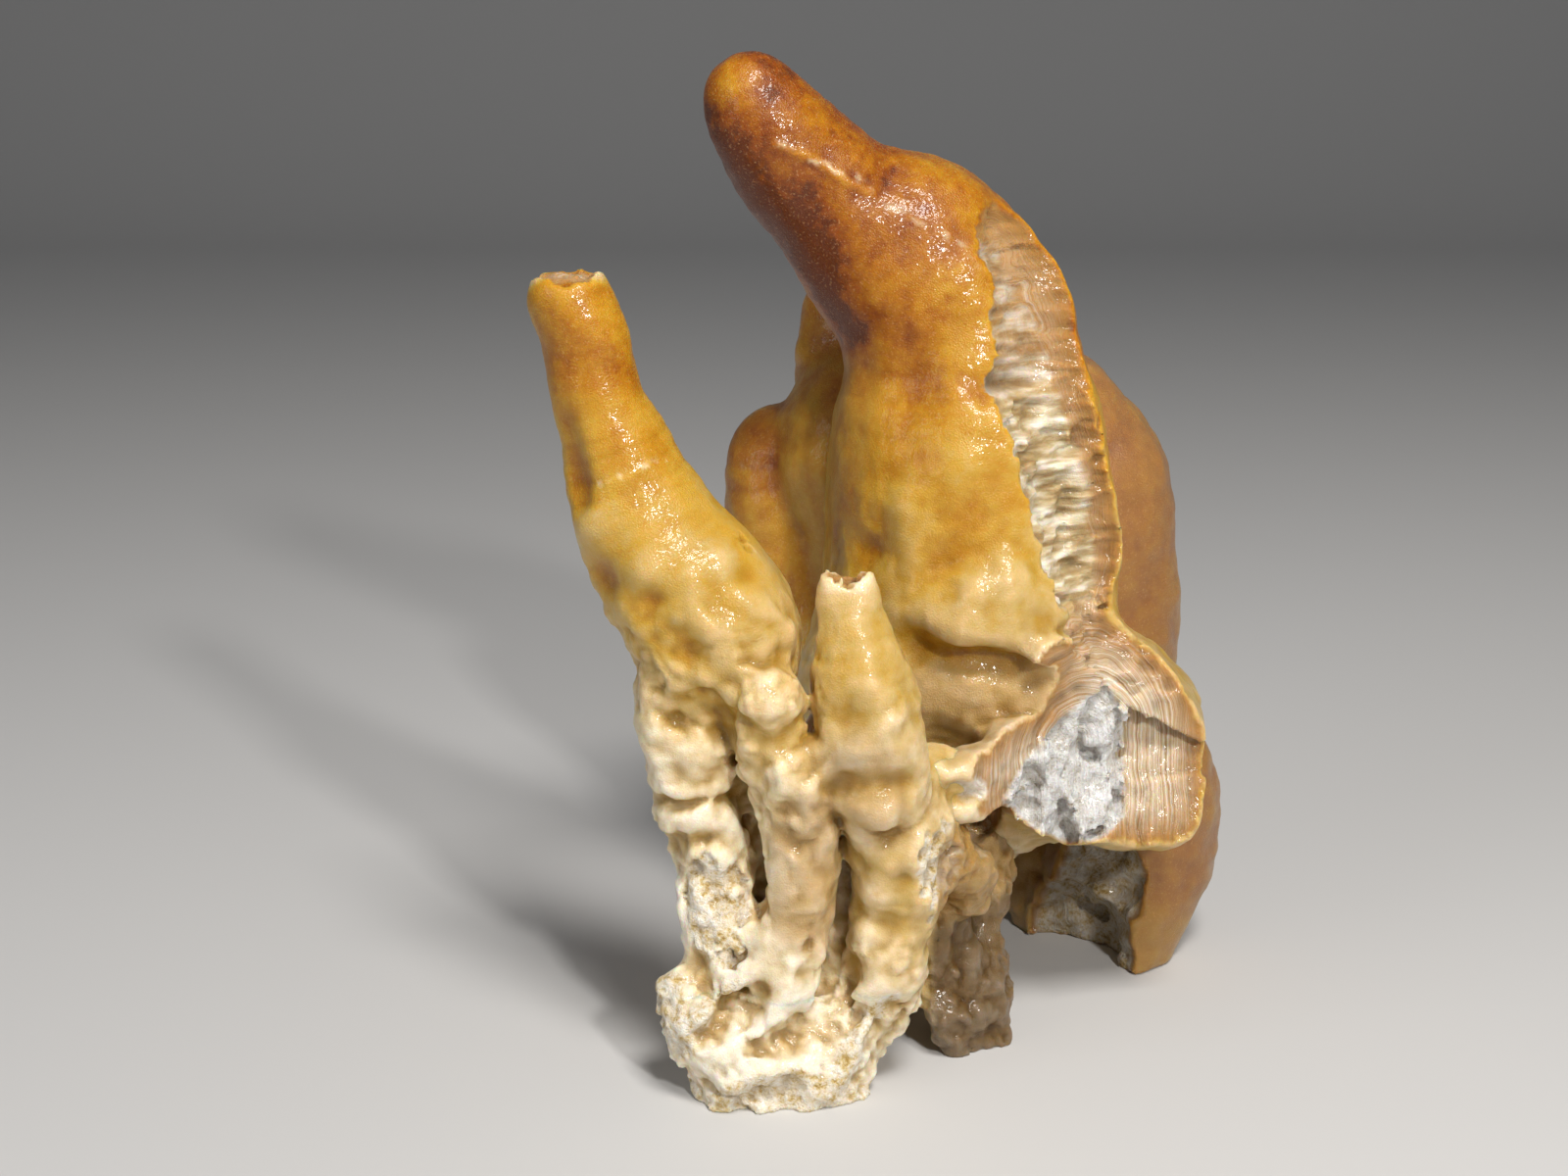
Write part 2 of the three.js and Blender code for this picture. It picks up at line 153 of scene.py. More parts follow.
def grow(points, trunks, stems):
    """Distance to the skin of strands that have run together, and the tone there."""
    trunk_fillet, stem_fillet, join_fillet, bleed = 6.0, 2.6, 4.0, 2.0  # millimetres
    groups, weights, stains = [], 0, 0
    for strands, fillet in ((trunks, trunk_fillet), (stems, stem_fillet)):
        together = np.full(len(points), FAR)
        for stations in strands.values():
            away, tone = to_strand(points, stations)
            together = fuse(together, away, fillet)
            pull = np.exp(-np.clip(away, -20, 20) / bleed)
            weights = weights + pull
            stains = stains + pull * tone
        groups.append(together)
    return fuse(groups[0], groups[1], join_fillet), stains / weights


def crumple(points, size, seed):
    """Smooth random relief from about -1 to 1, with lumps about as wide as size."""
    rng = np.random.default_rng(seed)
    slopes = rng.normal(size=(256, 3))
    slopes /= np.linalg.norm(slopes, axis=1)[:, None]
    order = np.concatenate([rng.permutation(256)] * 3)
    q = points / size + 1000.5
    cell = np.floor(q).astype(int)
    f = q - cell
    ease = f * f * f * (f * (f * 6 - 15) + 10)
    total = np.zeros(len(points))
    for corner in np.ndindex(2, 2, 2):
        c = np.array(corner)
        i, j, k = ((cell + c) % 256).T
        slope = slopes[order[order[order[i] + j] + k]]
        share = np.where(c == 1, ease, 1 - ease).prod(1)
        total += share * np.einsum("ij,ij->i", slope, f - c)
    return 1.6 * total


def nodules(points, size, seed):
    """Rounded nodules about as wide as size, from 0 in the sharp valleys between them up to about 1."""
    return np.abs(crumple(points, size, seed))


def scallops(points, size, seed):
    """Hollows about as wide as size, as a stone breaks in, from 0 on the ridges between them to about 1."""
    rng = np.random.default_rng(seed)
    order = np.concatenate([rng.permutation(256)] * 3)
    shift, lean = rng.uniform(-0.45, 0.45, (256, 3)), rng.normal(scale=0.6, size=(256, 3))
    q = points / size + 1000.25
    cell = np.floor(q - 0.5).astype(int)
    deepest = np.full(len(points), -9.0)
    for corner in np.ndindex(2, 2, 2):
        home = cell + np.array(corner)
        i, j, k = (home % 256).T
        pick = order[order[order[i] + j] + k]
        off = q - home - 0.5 - shift[pick]
        deepest = np.maximum(deepest, 0.5 + (lean[pick] * off).sum(1) - (off**2).sum(1))
    return deepest


def fade(value, start, end):
    """0 before start, 1 past end, and smooth between."""
    t = np.clip((value - start) / (end - start), 0, 1)
    return t * t * (3 - 2 * t)


def inside(points, stations, soft):
    """1 inside a strand-shaped patch of the stone, fading to 0 over soft millimetres outside it."""
    away, _ = to_strand(points, [s + [0] for s in stations], soft + 1)
    return 1 - fade(away, 0, soft)


def swell(points, ridges):
    """How far ridges and knobs of [x, y, z, width, height] raise the skin. Dents are below zero."""
    raised = np.zeros(len(points))
    for stations in ridges.values():
        line = beads(stations if len(stations) > 1 else [stations[0], stations[0]])
        room = 2.3 * line[:, 3].max()
        box = (points > line[:, :3].min(0) - room) & (points < line[:, :3].max(0) + room)
        k = np.flatnonzero(box.all(1))
        p, best, height = points[k], np.full(len(k), FAR), np.zeros(len(k))
        for a, b in zip(line[:-1], line[1:]):
            along = b[:3] - a[:3]
            t = np.clip((p - a[:3]) @ along / max(along @ along, 1e-9), 0, 1)
            off = np.linalg.norm(p - a[:3] - t[:, None] * along, axis=1) / (a[3] + t * (b[3] - a[3]))
            nearer = off < best
            best[nearer] = off[nearer]
            height[nearer] = (a[4] + t * (b[4] - a[4]))[nearer]
        raised[k] += height * np.exp(-best * best)
    return raised


def knobs(*stations):
    """Lumps and dents that are one station each, for swell."""
    return {"knob_%d" % n: [station] for n, station in enumerate(stations)}


def cut(points, stations, rough, size, seed, grain=(1, 1, 1)):
    """Distance out of a break, below zero in the stone that is gone, with a rough broken face."""
    away, _ = to_strand(points, [s + [0] for s in stations])
    near = np.flatnonzero(np.abs(away) < 6)
    p = points[near] * grain
    away[near] += rough * (crumple(p, size, seed) + 1.4 * (0.4 - scallops(p, size, seed + 1)))
    return away


def break_out(points, away, breaks):
    """What breaks leave of the stone. Each is a strand, and its face's roughness, grain size and seed."""
    for stations, rough, size, seed in breaks:
        away = np.maximum(away, -cut(points, stations, rough, size, seed))
    return away


def within_outline(points, corners, soft):
    """1 inside an outline of [x, z] corners seen from the front, fading to 0 over soft millimetres."""
    out = np.full(len(points), -FAR)
    c = np.array(corners, float)
    for a, b in zip(c, np.roll(c, -1, 0)):
        side = np.array([b[1] - a[1], a[0] - b[0]]) / np.hypot(*(b - a))
        out = np.maximum(out, -(points[:, [0, 2]] - a) @ side)
    return 1 - fade(out, 0, soft)


def surface(skin, low, high, pitch):
    """The closed surface where skin(points) is zero, as vertices and four-sided faces."""
    wide = 4 * pitch  # of the coarse cells that are looked at first, each from the middle of its four samples
    counts = [int(math.ceil((h - l) / wide)) + 1 for l, h in zip(low, high)]
    rows = [l + wide * (np.arange(n) + 0.375) for l, n in zip(low, counts)]
    value = skin(np.stack(np.meshgrid(*rows, indexing="ij"), -1).reshape(-1, 3)).reshape(counts)
    near = np.abs(value) < 0.9 * wide + 2.0
    for axis in range(3):
        value = value.repeat(4, axis)
        near = near.repeat(4, axis)
    where = np.argwhere(near)
    value[near] = skin(np.array(low) + pitch * where)
    within = value < 0
    within[0], within[-1], within[:, 0], within[:, -1], within[:, :, 0], within[:, :, -1] = (False,) * 6

    corners = list(np.ndindex(2, 2, 2))
    size = np.array(value.shape)
    count = np.zeros(size - 1, int)
    for a, b, c in corners:
        count += within[a : size[0] - 1 + a, b : size[1] - 1 + b, c : size[2] - 1 + c]
    cells = np.argwhere((count > 0) & (count < 8))
    number = np.full(size, -1)
    number[tuple(cells.T)] = np.arange(len(cells))
    total, crossings = np.zeros((len(cells), 3)), np.zeros(len(cells))
    for a in corners:
        for axis in range(3):
            if a[axis]:
                continue
            b = tuple(1 if n == axis else v for n, v in enumerate(a))
            va, vb = value[tuple((cells + a).T)], value[tuple((cells + b).T)]
            crossed = (va < 0) != (vb < 0)
            share = np.where(crossed, va / np.where(crossed, va - vb, 1), 0)
            total += crossed[:, None] * (np.array(a) + share[:, None] * (np.array(b) - np.array(a)))
            crossings += crossed
    points = np.array(low) + pitch * (cells + total / np.maximum(crossings, 1)[:, None])

    faces = []
    for axis in range(3):
        u, v = [np.eye(3, dtype=int)[(axis + n) % 3] for n in (1, 2)]
        ahead = np.roll(within, -1, axis)
        ends = np.argwhere(within != ahead)
        ends = ends[(ends > 0).all(1) & (ends < size - 2).all(1)]
        ring = np.stack([number[tuple((ends - m).T)] for m in (u * 0, u, u + v, v)], 1)
        outward = within[tuple(ends.T)]
        ring[~outward] = ring[~outward][:, ::-1]
        faces.append(ring[(ring >= 0).all(1)])
    faces = np.concatenate(faces)
    used, renumbered = np.unique(faces, return_inverse=True)
    return points[used], renumbered.reshape(faces.shape)


def settle(points, faces, skin, pitch, turns=3):
    """Evens out the vertices and slides them onto the skin."""
    edges = np.concatenate([faces[:, [n, (n + 1) % 4]] for n in range(4)])
    for _ in range(turns):
        mean, met = np.zeros_like(points), np.zeros(len(points))
        for a, b in (edges.T, edges.T[::-1]):
            np.add.at(mean, a, points[b])
            np.add.at(met, a, 1)
        points = points + 0.5 * (mean / met[:, None] - points)
        reach = 0.1
        here = skin(points)
        slope = np.stack([skin(points + reach * np.eye(3)[n]) - here for n in range(3)], 1) / reach
        steep = np.maximum(0.3, (slope**2).sum(1))
        move = -slope * (here / steep)[:, None]
        length = np.linalg.norm(move, axis=1)
        points = points + move * np.minimum(1, 0.8 * pitch / np.maximum(length, 1e-9))[:, None]
    return points


def hollows(points, faces, pitch):
    """How deep each vertex lies in a hollow of the stone, from about -1 on a knob to about 1 in a fold."""

    def gather(into, values):
        """The sum of the values that go into each vertex."""
        return np.stack([np.bincount(into, values[:, m], len(points)) for m in range(3)], 1)

    edges = np.concatenate([faces[:, [n, (n + 1) % 4]] for n in range(4)])
    a, b = np.concatenate([edges, edges[:, ::-1]]).T
    met = np.bincount(a, minlength=len(points))[:, None]
    across = np.cross(points[faces[:, 2]] - points[faces[:, 0]], points[faces[:, 3]] - points[faces[:, 1]])
    outward = sum(gather(faces[:, n], across) for n in range(4))
    outward /= np.maximum(np.linalg.norm(outward, axis=1), 1e-9)[:, None]
    depth, evened, turns = np.zeros(len(points)), points, 0
    for width, usual, share in ((1.6, 0.02, 2.1), (4.5, 0.06, 0.45)):
        while turns < 1.2 * (width / pitch) ** 2:
            evened = evened + 0.8 * (gather(a, evened[b]) / met - evened)
            turns += 1
        depth += share * (((evened - points) * outward).sum(1) + usual)
    return np.clip(depth, -1, 1)


mark_names = (
    "hollow", "tone", "depth", "layer", "bands", "silk", "chalk", "crust", "frost_and_sheen", "painted_shade", "pale",
)
millimetre = 0.001


def stone(name, skin, marks, low, high, pitch, material, nodes):
    """Makes a closed piece from its skin, marks it for its material, and puts it in the nodes' place."""
    points, faces = surface(skin, low, high, pitch)
    points = settle(points, faces, skin, pitch)
    mesh = bpy.data.meshes.new(name)
    mesh.vertices.add(len(points))
    mesh.vertices.foreach_set("co", ((points - middle) * millimetre).astype(np.float32).ravel())
    mesh.loops.add(4 * len(faces))
    mesh.loops.foreach_set("vertex_index", faces.astype(np.int32).ravel())
    mesh.polygons.add(len(faces))
    mesh.polygons.foreach_set("loop_start", np.arange(0, 4 * len(faces), 4, dtype=np.int32))
    mesh.polygons.foreach_set("use_smooth", np.ones(len(faces), bool))
    mesh.update()
    found = {"hollow": hollows(points, faces, pitch), **marks(points)}
    for mark in mark_names:
        values = found.get(mark, 0) + np.zeros(len(points), np.float32)
        attribute = mesh.attributes.new(mark, "FLOAT", "POINT")
        attribute.data.foreach_set("value", values.astype(np.float32))
    mesh.materials.append(material)
    piece = bpy.data.objects.new(name, mesh)
    bpy.context.scene.collection.objects.link(piece)
    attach(piece, "root")
    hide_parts(*nodes)


spire_trunks = {
    "horn": [
        [-29.4, 2, 177.4, 8.2, 0.98], [-26.6, 3, 173, 10.3, 0.97], [-22, 5, 166.8, 12.2, 0.95],
        [-13.6, 7, 158, 13.6, 0.92], [-5, 8, 149.5, 16, 0.88], [3, 8, 141, 18, 0.84],
    ],
    "spire": [
        [3.5, 10, 149.5, 16, 0.84], [12.3, 11, 136.1, 19.4, 0.8], [12.2, 9, 121.7, 23.4, 0.72],
        [12.4, 8, 108.4, 26.8, 0.66], [14, 8, 93.8, 28.2, 0.6], [15.6, 8, 78.9, 26.4, 0.52],
        [16.6, 8, 68, 25.2, 0.42], [17.9, 9, 56, 24.8, 0.35], [17, 11, 45, 20, 0.3], [14, 14, 38, 14, 0.3],
    ],
    "skirt": [[1, -12, 84, 7, 0.5], [12, -17, 85.5, 8, 0.5], [25, -14, 87, 7, 0.5]],
    "roll": [[3, -11, 69, 8, 0.38], [14, -14.5, 69, 9, 0.38], [25, -13, 71, 8, 0.38]],
    "stub": [[38, 18, 50, 23, 0.5], [35, -8, 58, 21, 0.45], [31, -32, 63, 17, 0.3]],
    "core": [[-19, -8, 26, 11, 0.4], [-11, -3, 42, 15, 0.4], [-4, 0, 62, 18, 0.4], [4, 4, 80, 20, 0.45]],
}
spire_scar = [
    [33, -17, 168, 14], [27.8, -8, 157.5, 16], [31.1, -8, 148, 16], [31.7, -14.5, 130, 16],
    [36.4, -16, 114, 16], [40.1, -15, 97, 16], [46, -17, 84, 16], [54, -22, 76, 14],
]
stub_face = [[61, -70, 59, 60], [61, -70, 61, 60]]
hollow = [[38, -40, 16, 17], [36, -14, 19, 17], [36, 0, 19, 16], [36, 6, 20, 15]]
hollow_foot = [[38, -40, 2, 15], [36, -14, 3, 15], [33, 13, 3, 15]]
pocket = [[18, -40, 46, 5], [15, -22, 46, 5], [14, -12, 42, 5]]
stub_break = (stub_face, 0.3, 4.0, 33)
pocket_break = (pocket, 0.5, 3.0, 55)
arch_breaks = [(hollow, 1.3, 5.0, 39), (hollow_foot, 1.3, 5.0, 41)]
spire_foot = 19.0  # the height that it ends at, on the root

web = {
    "web_low": [[3, -34, 54.5, 4.5, 0.3], [12, -31, 54, 4.5, 0.3], [20, -27, 53, 5, 0.3]],
    "web": [
        [0.9, -34, 59, 5.5, 0.34], [10.1, -32, 58.4, 5.8, 0.3], [19, -29, 58.8, 6.5, 0.3],
        [28, -23, 63, 9, 0.3],
    ],
}
stub_corner = {
    "stub_corner": [[46, 20, 46, 11, 0.6], [46, -6, 45, 10, 0.5]],
    "stub_edge": [[51, 8, 60, 6.5, 0.5], [51.5, -8, 54, 6, 0.5], [52, -9, 42, 5.5, 0.5]],
}
chalk_outline = [
    [18, 53.5], [23, 59], [31.5, 66.5], [38, 69.5], [42, 63], [42, 43.7], [34.2, 39.5], [26, 40], [20, 46],
]

spire_relief = {
    "ledge": [
        [3.5, -21.5, 86, 4, 1.2], [9.5, -24.5, 84, 4, 1.4], [18, -23.5, 82, 4, 1.3],
        [25, -24.5, 79, 4, 1.2],
    ],
    "ledge_crease": [
        [2.5, -20.5, 80, 3, -1.8], [8.5, -21.5, 77.5, 3, -1.8], [16.5, -22.5, 77, 3, -1.8],
        [24, -25, 74, 3, -1.6],
    ],
    "waist": [[1.5, -12, 125.5, 6, -1.1]],
    "scar_dent": [[13.5, -15, 126, 4, -0.8]],
    "belly": [[1, -17, 104, 6, 1]],
    "belly_right": [[9.5, -18.5, 112.5, 5, 0.8]],
    "flank_dent": [[-6, -12, 96.5, 5, -0.5]],
    "belly_dent": [[8, -20, 97.5, 5, -0.5]],
    "belly_knob": [[-1, -20, 96, 3.5, 0.7]],
    "ledge_knob_a": [[12, -24, 91, 3.5, 0.8]],
    "ledge_knob_b": [[20, -22, 92, 4, 0.7]],
    "horn_crack": [
        [-24.5, -7.5, 169.5, 0.8, 0.4], [-17, -6.5, 166.5, 0.8, 0.4], [-12, -6, 163, 0.8, 0.4],
        [-7, -5, 160.5, 0.8, 0.4],
    ],
    "horn_hollow": [[-19, -8, 161, 5, -0.4]],
    "horn_neck": [[-3, -2, 163.5, 4, -0.5]],
    "scar_notch": [[14.2, -15, 126.5, 1.8, -1.6]],
    "web_pit": [[8.5, -37, 57, 2.2, -1.6], [12.5, -34.5, 56, 2.4, -1.9]],
    "web_lip": [
        [6.5, -38, 60.5, 1.3, 0.6], [12, -35.5, 60.5, 1.3, 0.7], [16.5, -32, 58.5, 1.3, 0.6],
        [14, -34, 53, 1.3, 0.5],
    ],
}
relief_gain = 1.7  # how much fuller all of it stands than it is listed
scar_groove = {
    "groove": [[14.5, -13, 127, 2.4, -3.4], [20.5, -3, 126.6, 2.2, -3], [24, -1, 126, 1.8, -1.6]]
}
# Iron stain on the spire's tone. The darker horn underside and left flank and the paler horn top are partly
# stain and partly painted shade and light.
spire_stain_and_shade = {
    "horn_underside": [
        [-33, -2, 170, 6, 0.1], [-30, -2, 160, 6, 0.22], [-20, -3, 146, 6, 0.26], [-12, -2, 136, 6, 0.2],
    ],
    "horn_tip": [[-32, -4, 180, 5, -0.16]],
    "horn_top": [[-17, -6, 172, 7, -0.12]],
    "golden_shoulder": [[6, -10, 146, 10, -0.06]],
    "belly_gold": [[2, -17, 112, 6, 0.05]],
    "left_flank": [[-14, -2, 122, 8, 0.06], [-14, -4, 104, 8, 0.06], [-9, -8, 88, 7, 0.05]],
    "rim_amber": [[22, -2, 150, 4, 0.1], [30, 4, 136, 4, 0.1], [35, 1, 118, 3, 0.08]],
}


def beside_stub(points):
    """Distance out of the bay between the roll and the left rim of the stub, below zero in the bay."""
    x, y, z = points.T
    sides = [x - 28.5, y + 22.5, z - 77, 65.6 + 0.16 * (x - 16) - z]
    return np.max(sides, axis=0) + 0.5 * crumple(points, 4.0, 59)


def crack(points, line, seed):
    """A thin pale healed crack along a line of [x, z] seen from the front, broken here and there."""
    flat = (points + 0.8 * crumple(points, 3.0, seed)[:, None]) * [1, 0, 1]
    patchy = fade(crumple(points, 2.2, seed + 1), -0.15, 0.35)
    return 0.6 * inside(flat, [[x, 0, z, 0.1] for x, z in line], 0.6) * patchy * (points[:, 1] < 34)


horn_crack = [[-24.8, 169.9], [-17.7, 167.2], [-12.4, 164.5], [-6.1, 160.9]]
shoulder_crack = [[-4, 158.5], [-1.5, 157.2], [3.7, 154.6], [10.4, 150.9], [13.5, 147.5]]


def spire_growth(points):
    away, tone = grow(points, {**spire_trunks, **stub_corner}, web)
    away = -fuse(-away, beside_stub(points), 2.5)
    plain = away.copy()
    close = np.flatnonzero(np.abs(away) < 7)
    p = points[close]
    low = 1 - fade(p[:, 2], 80, 125)
    away[close] += 0.7 * crumple(p, 15, 11) + (0.35 + 0.45 * low) * crumple(p, 7.5, 12)
    away[close] += (0.12 + 0.16 * low) * crumple(p, 2.6, 13) - relief_gain * swell(p, spire_relief)
    tone[close] += swell(p, spire_stain_and_shade)
    return away, tone, plain


def across_layers(points):
    """How far points lie across the stub's layers, which stand upright below and arch over above."""
    return np.hypot(points[:, 0] - 33, np.maximum(0, points[:, 2] - 60))


def face_recess(points):
    """How far the face of the stub is set back, by the steps of its layers and by its crumbled core."""
    x, z = points[:, 0], points[:, 2]
    across = across_layers(points)
    wobble = 0.7 * crumple(points, 6.0, 61)
    step = fade(67.2 - 0.56 * (x - 38) - z + wobble, -0.3, 0.3) * fade(x + wobble, 42.0, 42.6)
    collar = fade(across + wobble, 14.2, 14.8) * fade(x, 26, 34) * (1 - step)
    chip = fade(x + 0.5 * wobble, 46.6, 47.0) * fade(50 - z + wobble, -0.3, 0.3) * step
    core = within_outline(points + 1.2 * crumple(points, 3.0, 62)[:, None], chalk_outline, 0.5)
    rubble = 5.5 * scallops(points * [1.3, 1, 0.8], 8.0, 63) + 2.8 * crumple(points, 4.2, 64)
    rubble += 1.2 * crumple(points, 1.8, 65) - 1.4
    along_layers = np.stack([across, points[:, 1] * 0.3, z * 0.1], 1)
    seams = 0.7 * crumple(along_layers, 1.7, 66) + 0.4 * crumple(points, 2.2, 68)
    steps = (1.5 + 0.22 * np.clip(z - 42, 0, 20)) * step + 1.4 * collar - 1.2 * chip
    return steps + core * rubble + (1 - core) * seams


def spire_broken(points, away):
    """What the breaks leave of the spire: its long scar, the face of the stub and the hollow under it."""
    scar = cut(points, spire_scar, 0.6, 4.2, 31, (0.8, 0.8, 3.0))
    near = np.flatnonzero(np.abs(scar) < 6)
    p = points[near]
    rugged = 1.8 - 1.3 * fade(p[:, 2], 118, 132)
    scar[near] += rugged * (crumple(p, 5.0, 32) + 0.8 * (0.4 - scallops(p * [1, 1, 1.6], 5.0, 34)))
    scar[near] += swell(p, scar_groove)
    face = cut(points, *stub_break)
    near = np.flatnonzero(np.abs(face) < 7)
    face[near] -= face_recess(points[near])
    away = np.max([away, -scar, -face], axis=0)
    return break_out(points, away, [pocket_break, *arch_breaks])


def spire_skin(points):
    away, _, _ = spire_growth(points)
    return np.maximum(spire_broken(points, away), spire_foot - points[:, 2])


def shaded_in_dents(tone, plain):
    """The tone, darker in dents and lighter on lumps by how far they lie from the plain growth: painted shade
    in the dents and painted light on the lumps.
    """
    return tone - 0.06 * np.clip(plain, -2, 2)


def spire_marks(points):
    away, tone, plain = spire_growth(points)
    depth = np.maximum(0, -away)
    broken = fade(depth + 0.5 * crumple(points, 2.4, 70), 0.35, 0.9) * (depth > 0.2)
    x, z = points[:, 0], points[:, 2]
    rim = np.interp(z, [86, 100, 112, 123, 137, 150, 156], [37, 36, 33, 29, 24, 16, 6])
    rim += 1.5 * crumple(points, 5.0, 69)
    silk = broken * (1 - fade(x, rim - 1.5, rim + 1.0)) * fade(z, 80, 86) * (1 - 0.45 * fade(z, 118, 132))
    ragged = points + 0.8 * crumple(points, 2.0, 67)[:, None]
    chalk = broken * within_outline(ragged, chalk_outline, 0.8) * (points[:, 1] < -8)
    chalk = np.maximum(chalk, 0.7 * inside(ragged, [[8.5, -37, 57.5, 1.5], [12.5, -34.5, 56.5, 1.5]], 0.8))
    cave = broken * inside(points, hollow, 3.0) * (z < 41)
    healed = np.maximum(0.9 * crack(points, horn_crack, 85), 0.6 * crack(points, shoulder_crack, 87))
    layer = np.where(z < 80, 24 - across_layers(points), depth)
    notch = inside(points, [[13.5, -14, 127.2, 1.2], [19, -5, 126.8, 1.1], [23, -2, 126.2, 0.4]], 1.6)
    # the frosted crust on the roll and the left flank, partly painted sheen where the left flank is seen
    # edge-on
    frost_and_sheen = inside(points, [[6, -26, 68, 9], [22, -26, 70, 9]], 3.0) * 0.35
    frost_and_sheen = np.maximum(frost_and_sheen, 0.15 * inside(points, [[-12, -2, 124, 6], [-14, -2, 100, 6]], 5.0))
    return {
        "tone": shaded_in_dents(tone, plain),
        "depth": depth * (1 - 0.55 * fade(z, 82, 92)),
        "layer": layer,
        "bands": broken * (1 - silk),
        "silk": silk,
        "chalk": chalk,
        "crust": cave,
        "frost_and_sheen": frost_and_sheen * (1 - broken),
        # painted shade on the broken faces of the hollow under the stub and in the scar's notch
        "painted_shade": np.maximum(0.6 * cave, 0.8 * broken * notch),
        "pale": healed * (points[:, 1] < 5),
    }


amber = bpy.data.materials.new("amber_aragonite_skin")
amber.use_nodes = True
tree = amber.node_tree


def node(kind, **settings):
    """A shader node, with its settings and the numbers or links on its inputs."""
    made = tree.nodes.new(kind)
    for key, value in settings.items():
        if key.startswith("in_"):
            name = key[3:].replace("_", " ")
            socket = made.inputs[int(name)] if name.isdigit() else made.inputs[name]
            if isinstance(value, bpy.types.NodeSocket):
                tree.links.new(value, socket)
            else:
                socket.default_value = value
        else:
            setattr(made, key, value)
    return made


def ramp(value, stops):
    """Colours along a value from 0 to 1."""
    made = node("ShaderNodeValToRGB", in_Fac=value)
    bar = made.color_ramp
    while len(bar.elements) < len(stops):
        bar.elements.new(1.0)
    for element, (place, colour) in zip(bar.elements, stops):
        element.position = place
        element.color = (*colour, 1)
    return made.outputs["Color"]


def maths(operation, a, b=0.0, clamp=False):
    return node("ShaderNodeMath", operation=operation, use_clamp=clamp, in_0=a, in_1=b).outputs[0]


def add(a, b, clamp=False):
    return maths("ADD", a, b, clamp)


def times(a, b):
    return maths("MULTIPLY", a, b)


def blend(share, a, b):
    """Colour a turning into colour b."""
    made = node("ShaderNodeMix", data_type="RGBA")
    for socket, value in ((made.inputs[0], share), (made.inputs[6], a), (made.inputs[7], b)):
        if isinstance(value, bpy.types.NodeSocket):
            tree.links.new(value, socket)
        else:
            socket.default_value = value
    return made.outputs[2]


def cloud(place, size, detail=2.0, roughness=0.5):
    """Noise with lumps about as wide as size, in millimetres."""
    scale = 700.0 / size  # its lumps are 0.7 m wide at a scale of 1
    noise = node("ShaderNodeTexNoise", in_Vector=place, in_Scale=scale, in_Detail=detail)
    noise.inputs["Roughness"].default_value = roughness
    return noise.outputs["Fac"]


def around(value, amount):
    """A noise value as an amount to add, above and below nothing."""
    return times(maths("SUBTRACT", value, 0.5), amount)


def darkened(share, colour, tint):
    """Colour multiplied by a tint, as far as the share says."""
    made = node(
        "ShaderNodeMix", data_type="RGBA", blend_type="MULTIPLY", in_0=share, in_6=colour, in_7=tint,
    )
    return made.outputs[2]


def bump(height, strength, distance, below=None):
    """A fine relief in the gloss, up to distance in metres high, on top of the one below."""
    made = node("ShaderNodeBump", in_Height=height, in_Strength=strength, in_Distance=distance)
    if below:
        tree.links.new(below, made.inputs["Normal"])
    return made.outputs[0]


stain_colours = [
    (0.00, (0.86, 0.80, 0.67)),
    (0.15, (0.74, 0.62, 0.41)),
    (0.30, (0.63, 0.46, 0.22)),
    (0.45, (0.56, 0.38, 0.115)),
    (0.58, (0.56, 0.33, 0.038)),
    (0.70, (0.51, 0.25, 0.013)),
    (0.82, (0.40, 0.145, 0.005)),
    (0.93, (0.26, 0.065, 0.004)),
    (1.00, (0.13, 0.028, 0.004)),
]
layer_colours = [
    (0.30, (0.46, 0.28, 0.13)),
    (0.42, (0.60, 0.43, 0.26)),
    (0.52, (0.71, 0.58, 0.42)),
    (0.64, (0.88, 0.82, 0.72)),
]
thread_colours = [
    (0.32, (0.32, 0.21, 0.09)),
    (0.43, (0.47, 0.35, 0.18)),
    (0.53, (0.64, 0.54, 0.36)),
    (0.66, (0.88, 0.83, 0.71)),
]
powder_colours = [
    (0.34, (0.33, 0.28, 0.20)),
    (0.40, (0.63, 0.59, 0.52)),
    (0.48, (0.79, 0.78, 0.76)),
    (0.60, (0.91, 0.91, 0.91)),
]
rust_colours = [
    (0.36, (0.40, 0.25, 0.07)),
    (0.42, (0.62, 0.46, 0.20)),
    (0.49, (0.78, 0.67, 0.49)),
    (0.60, (0.89, 0.85, 0.76)),
]
# painted shade in the hollows and painted light on the knobs
painted_relief_shade = [
    (0.10, (1.12, 1.11, 1.08)),
    (0.45, (1.00, 1.00, 1.00)),
    (0.72, (0.80, 0.73, 0.62)),
    (1.00, (0.52, 0.42, 0.30)),
]


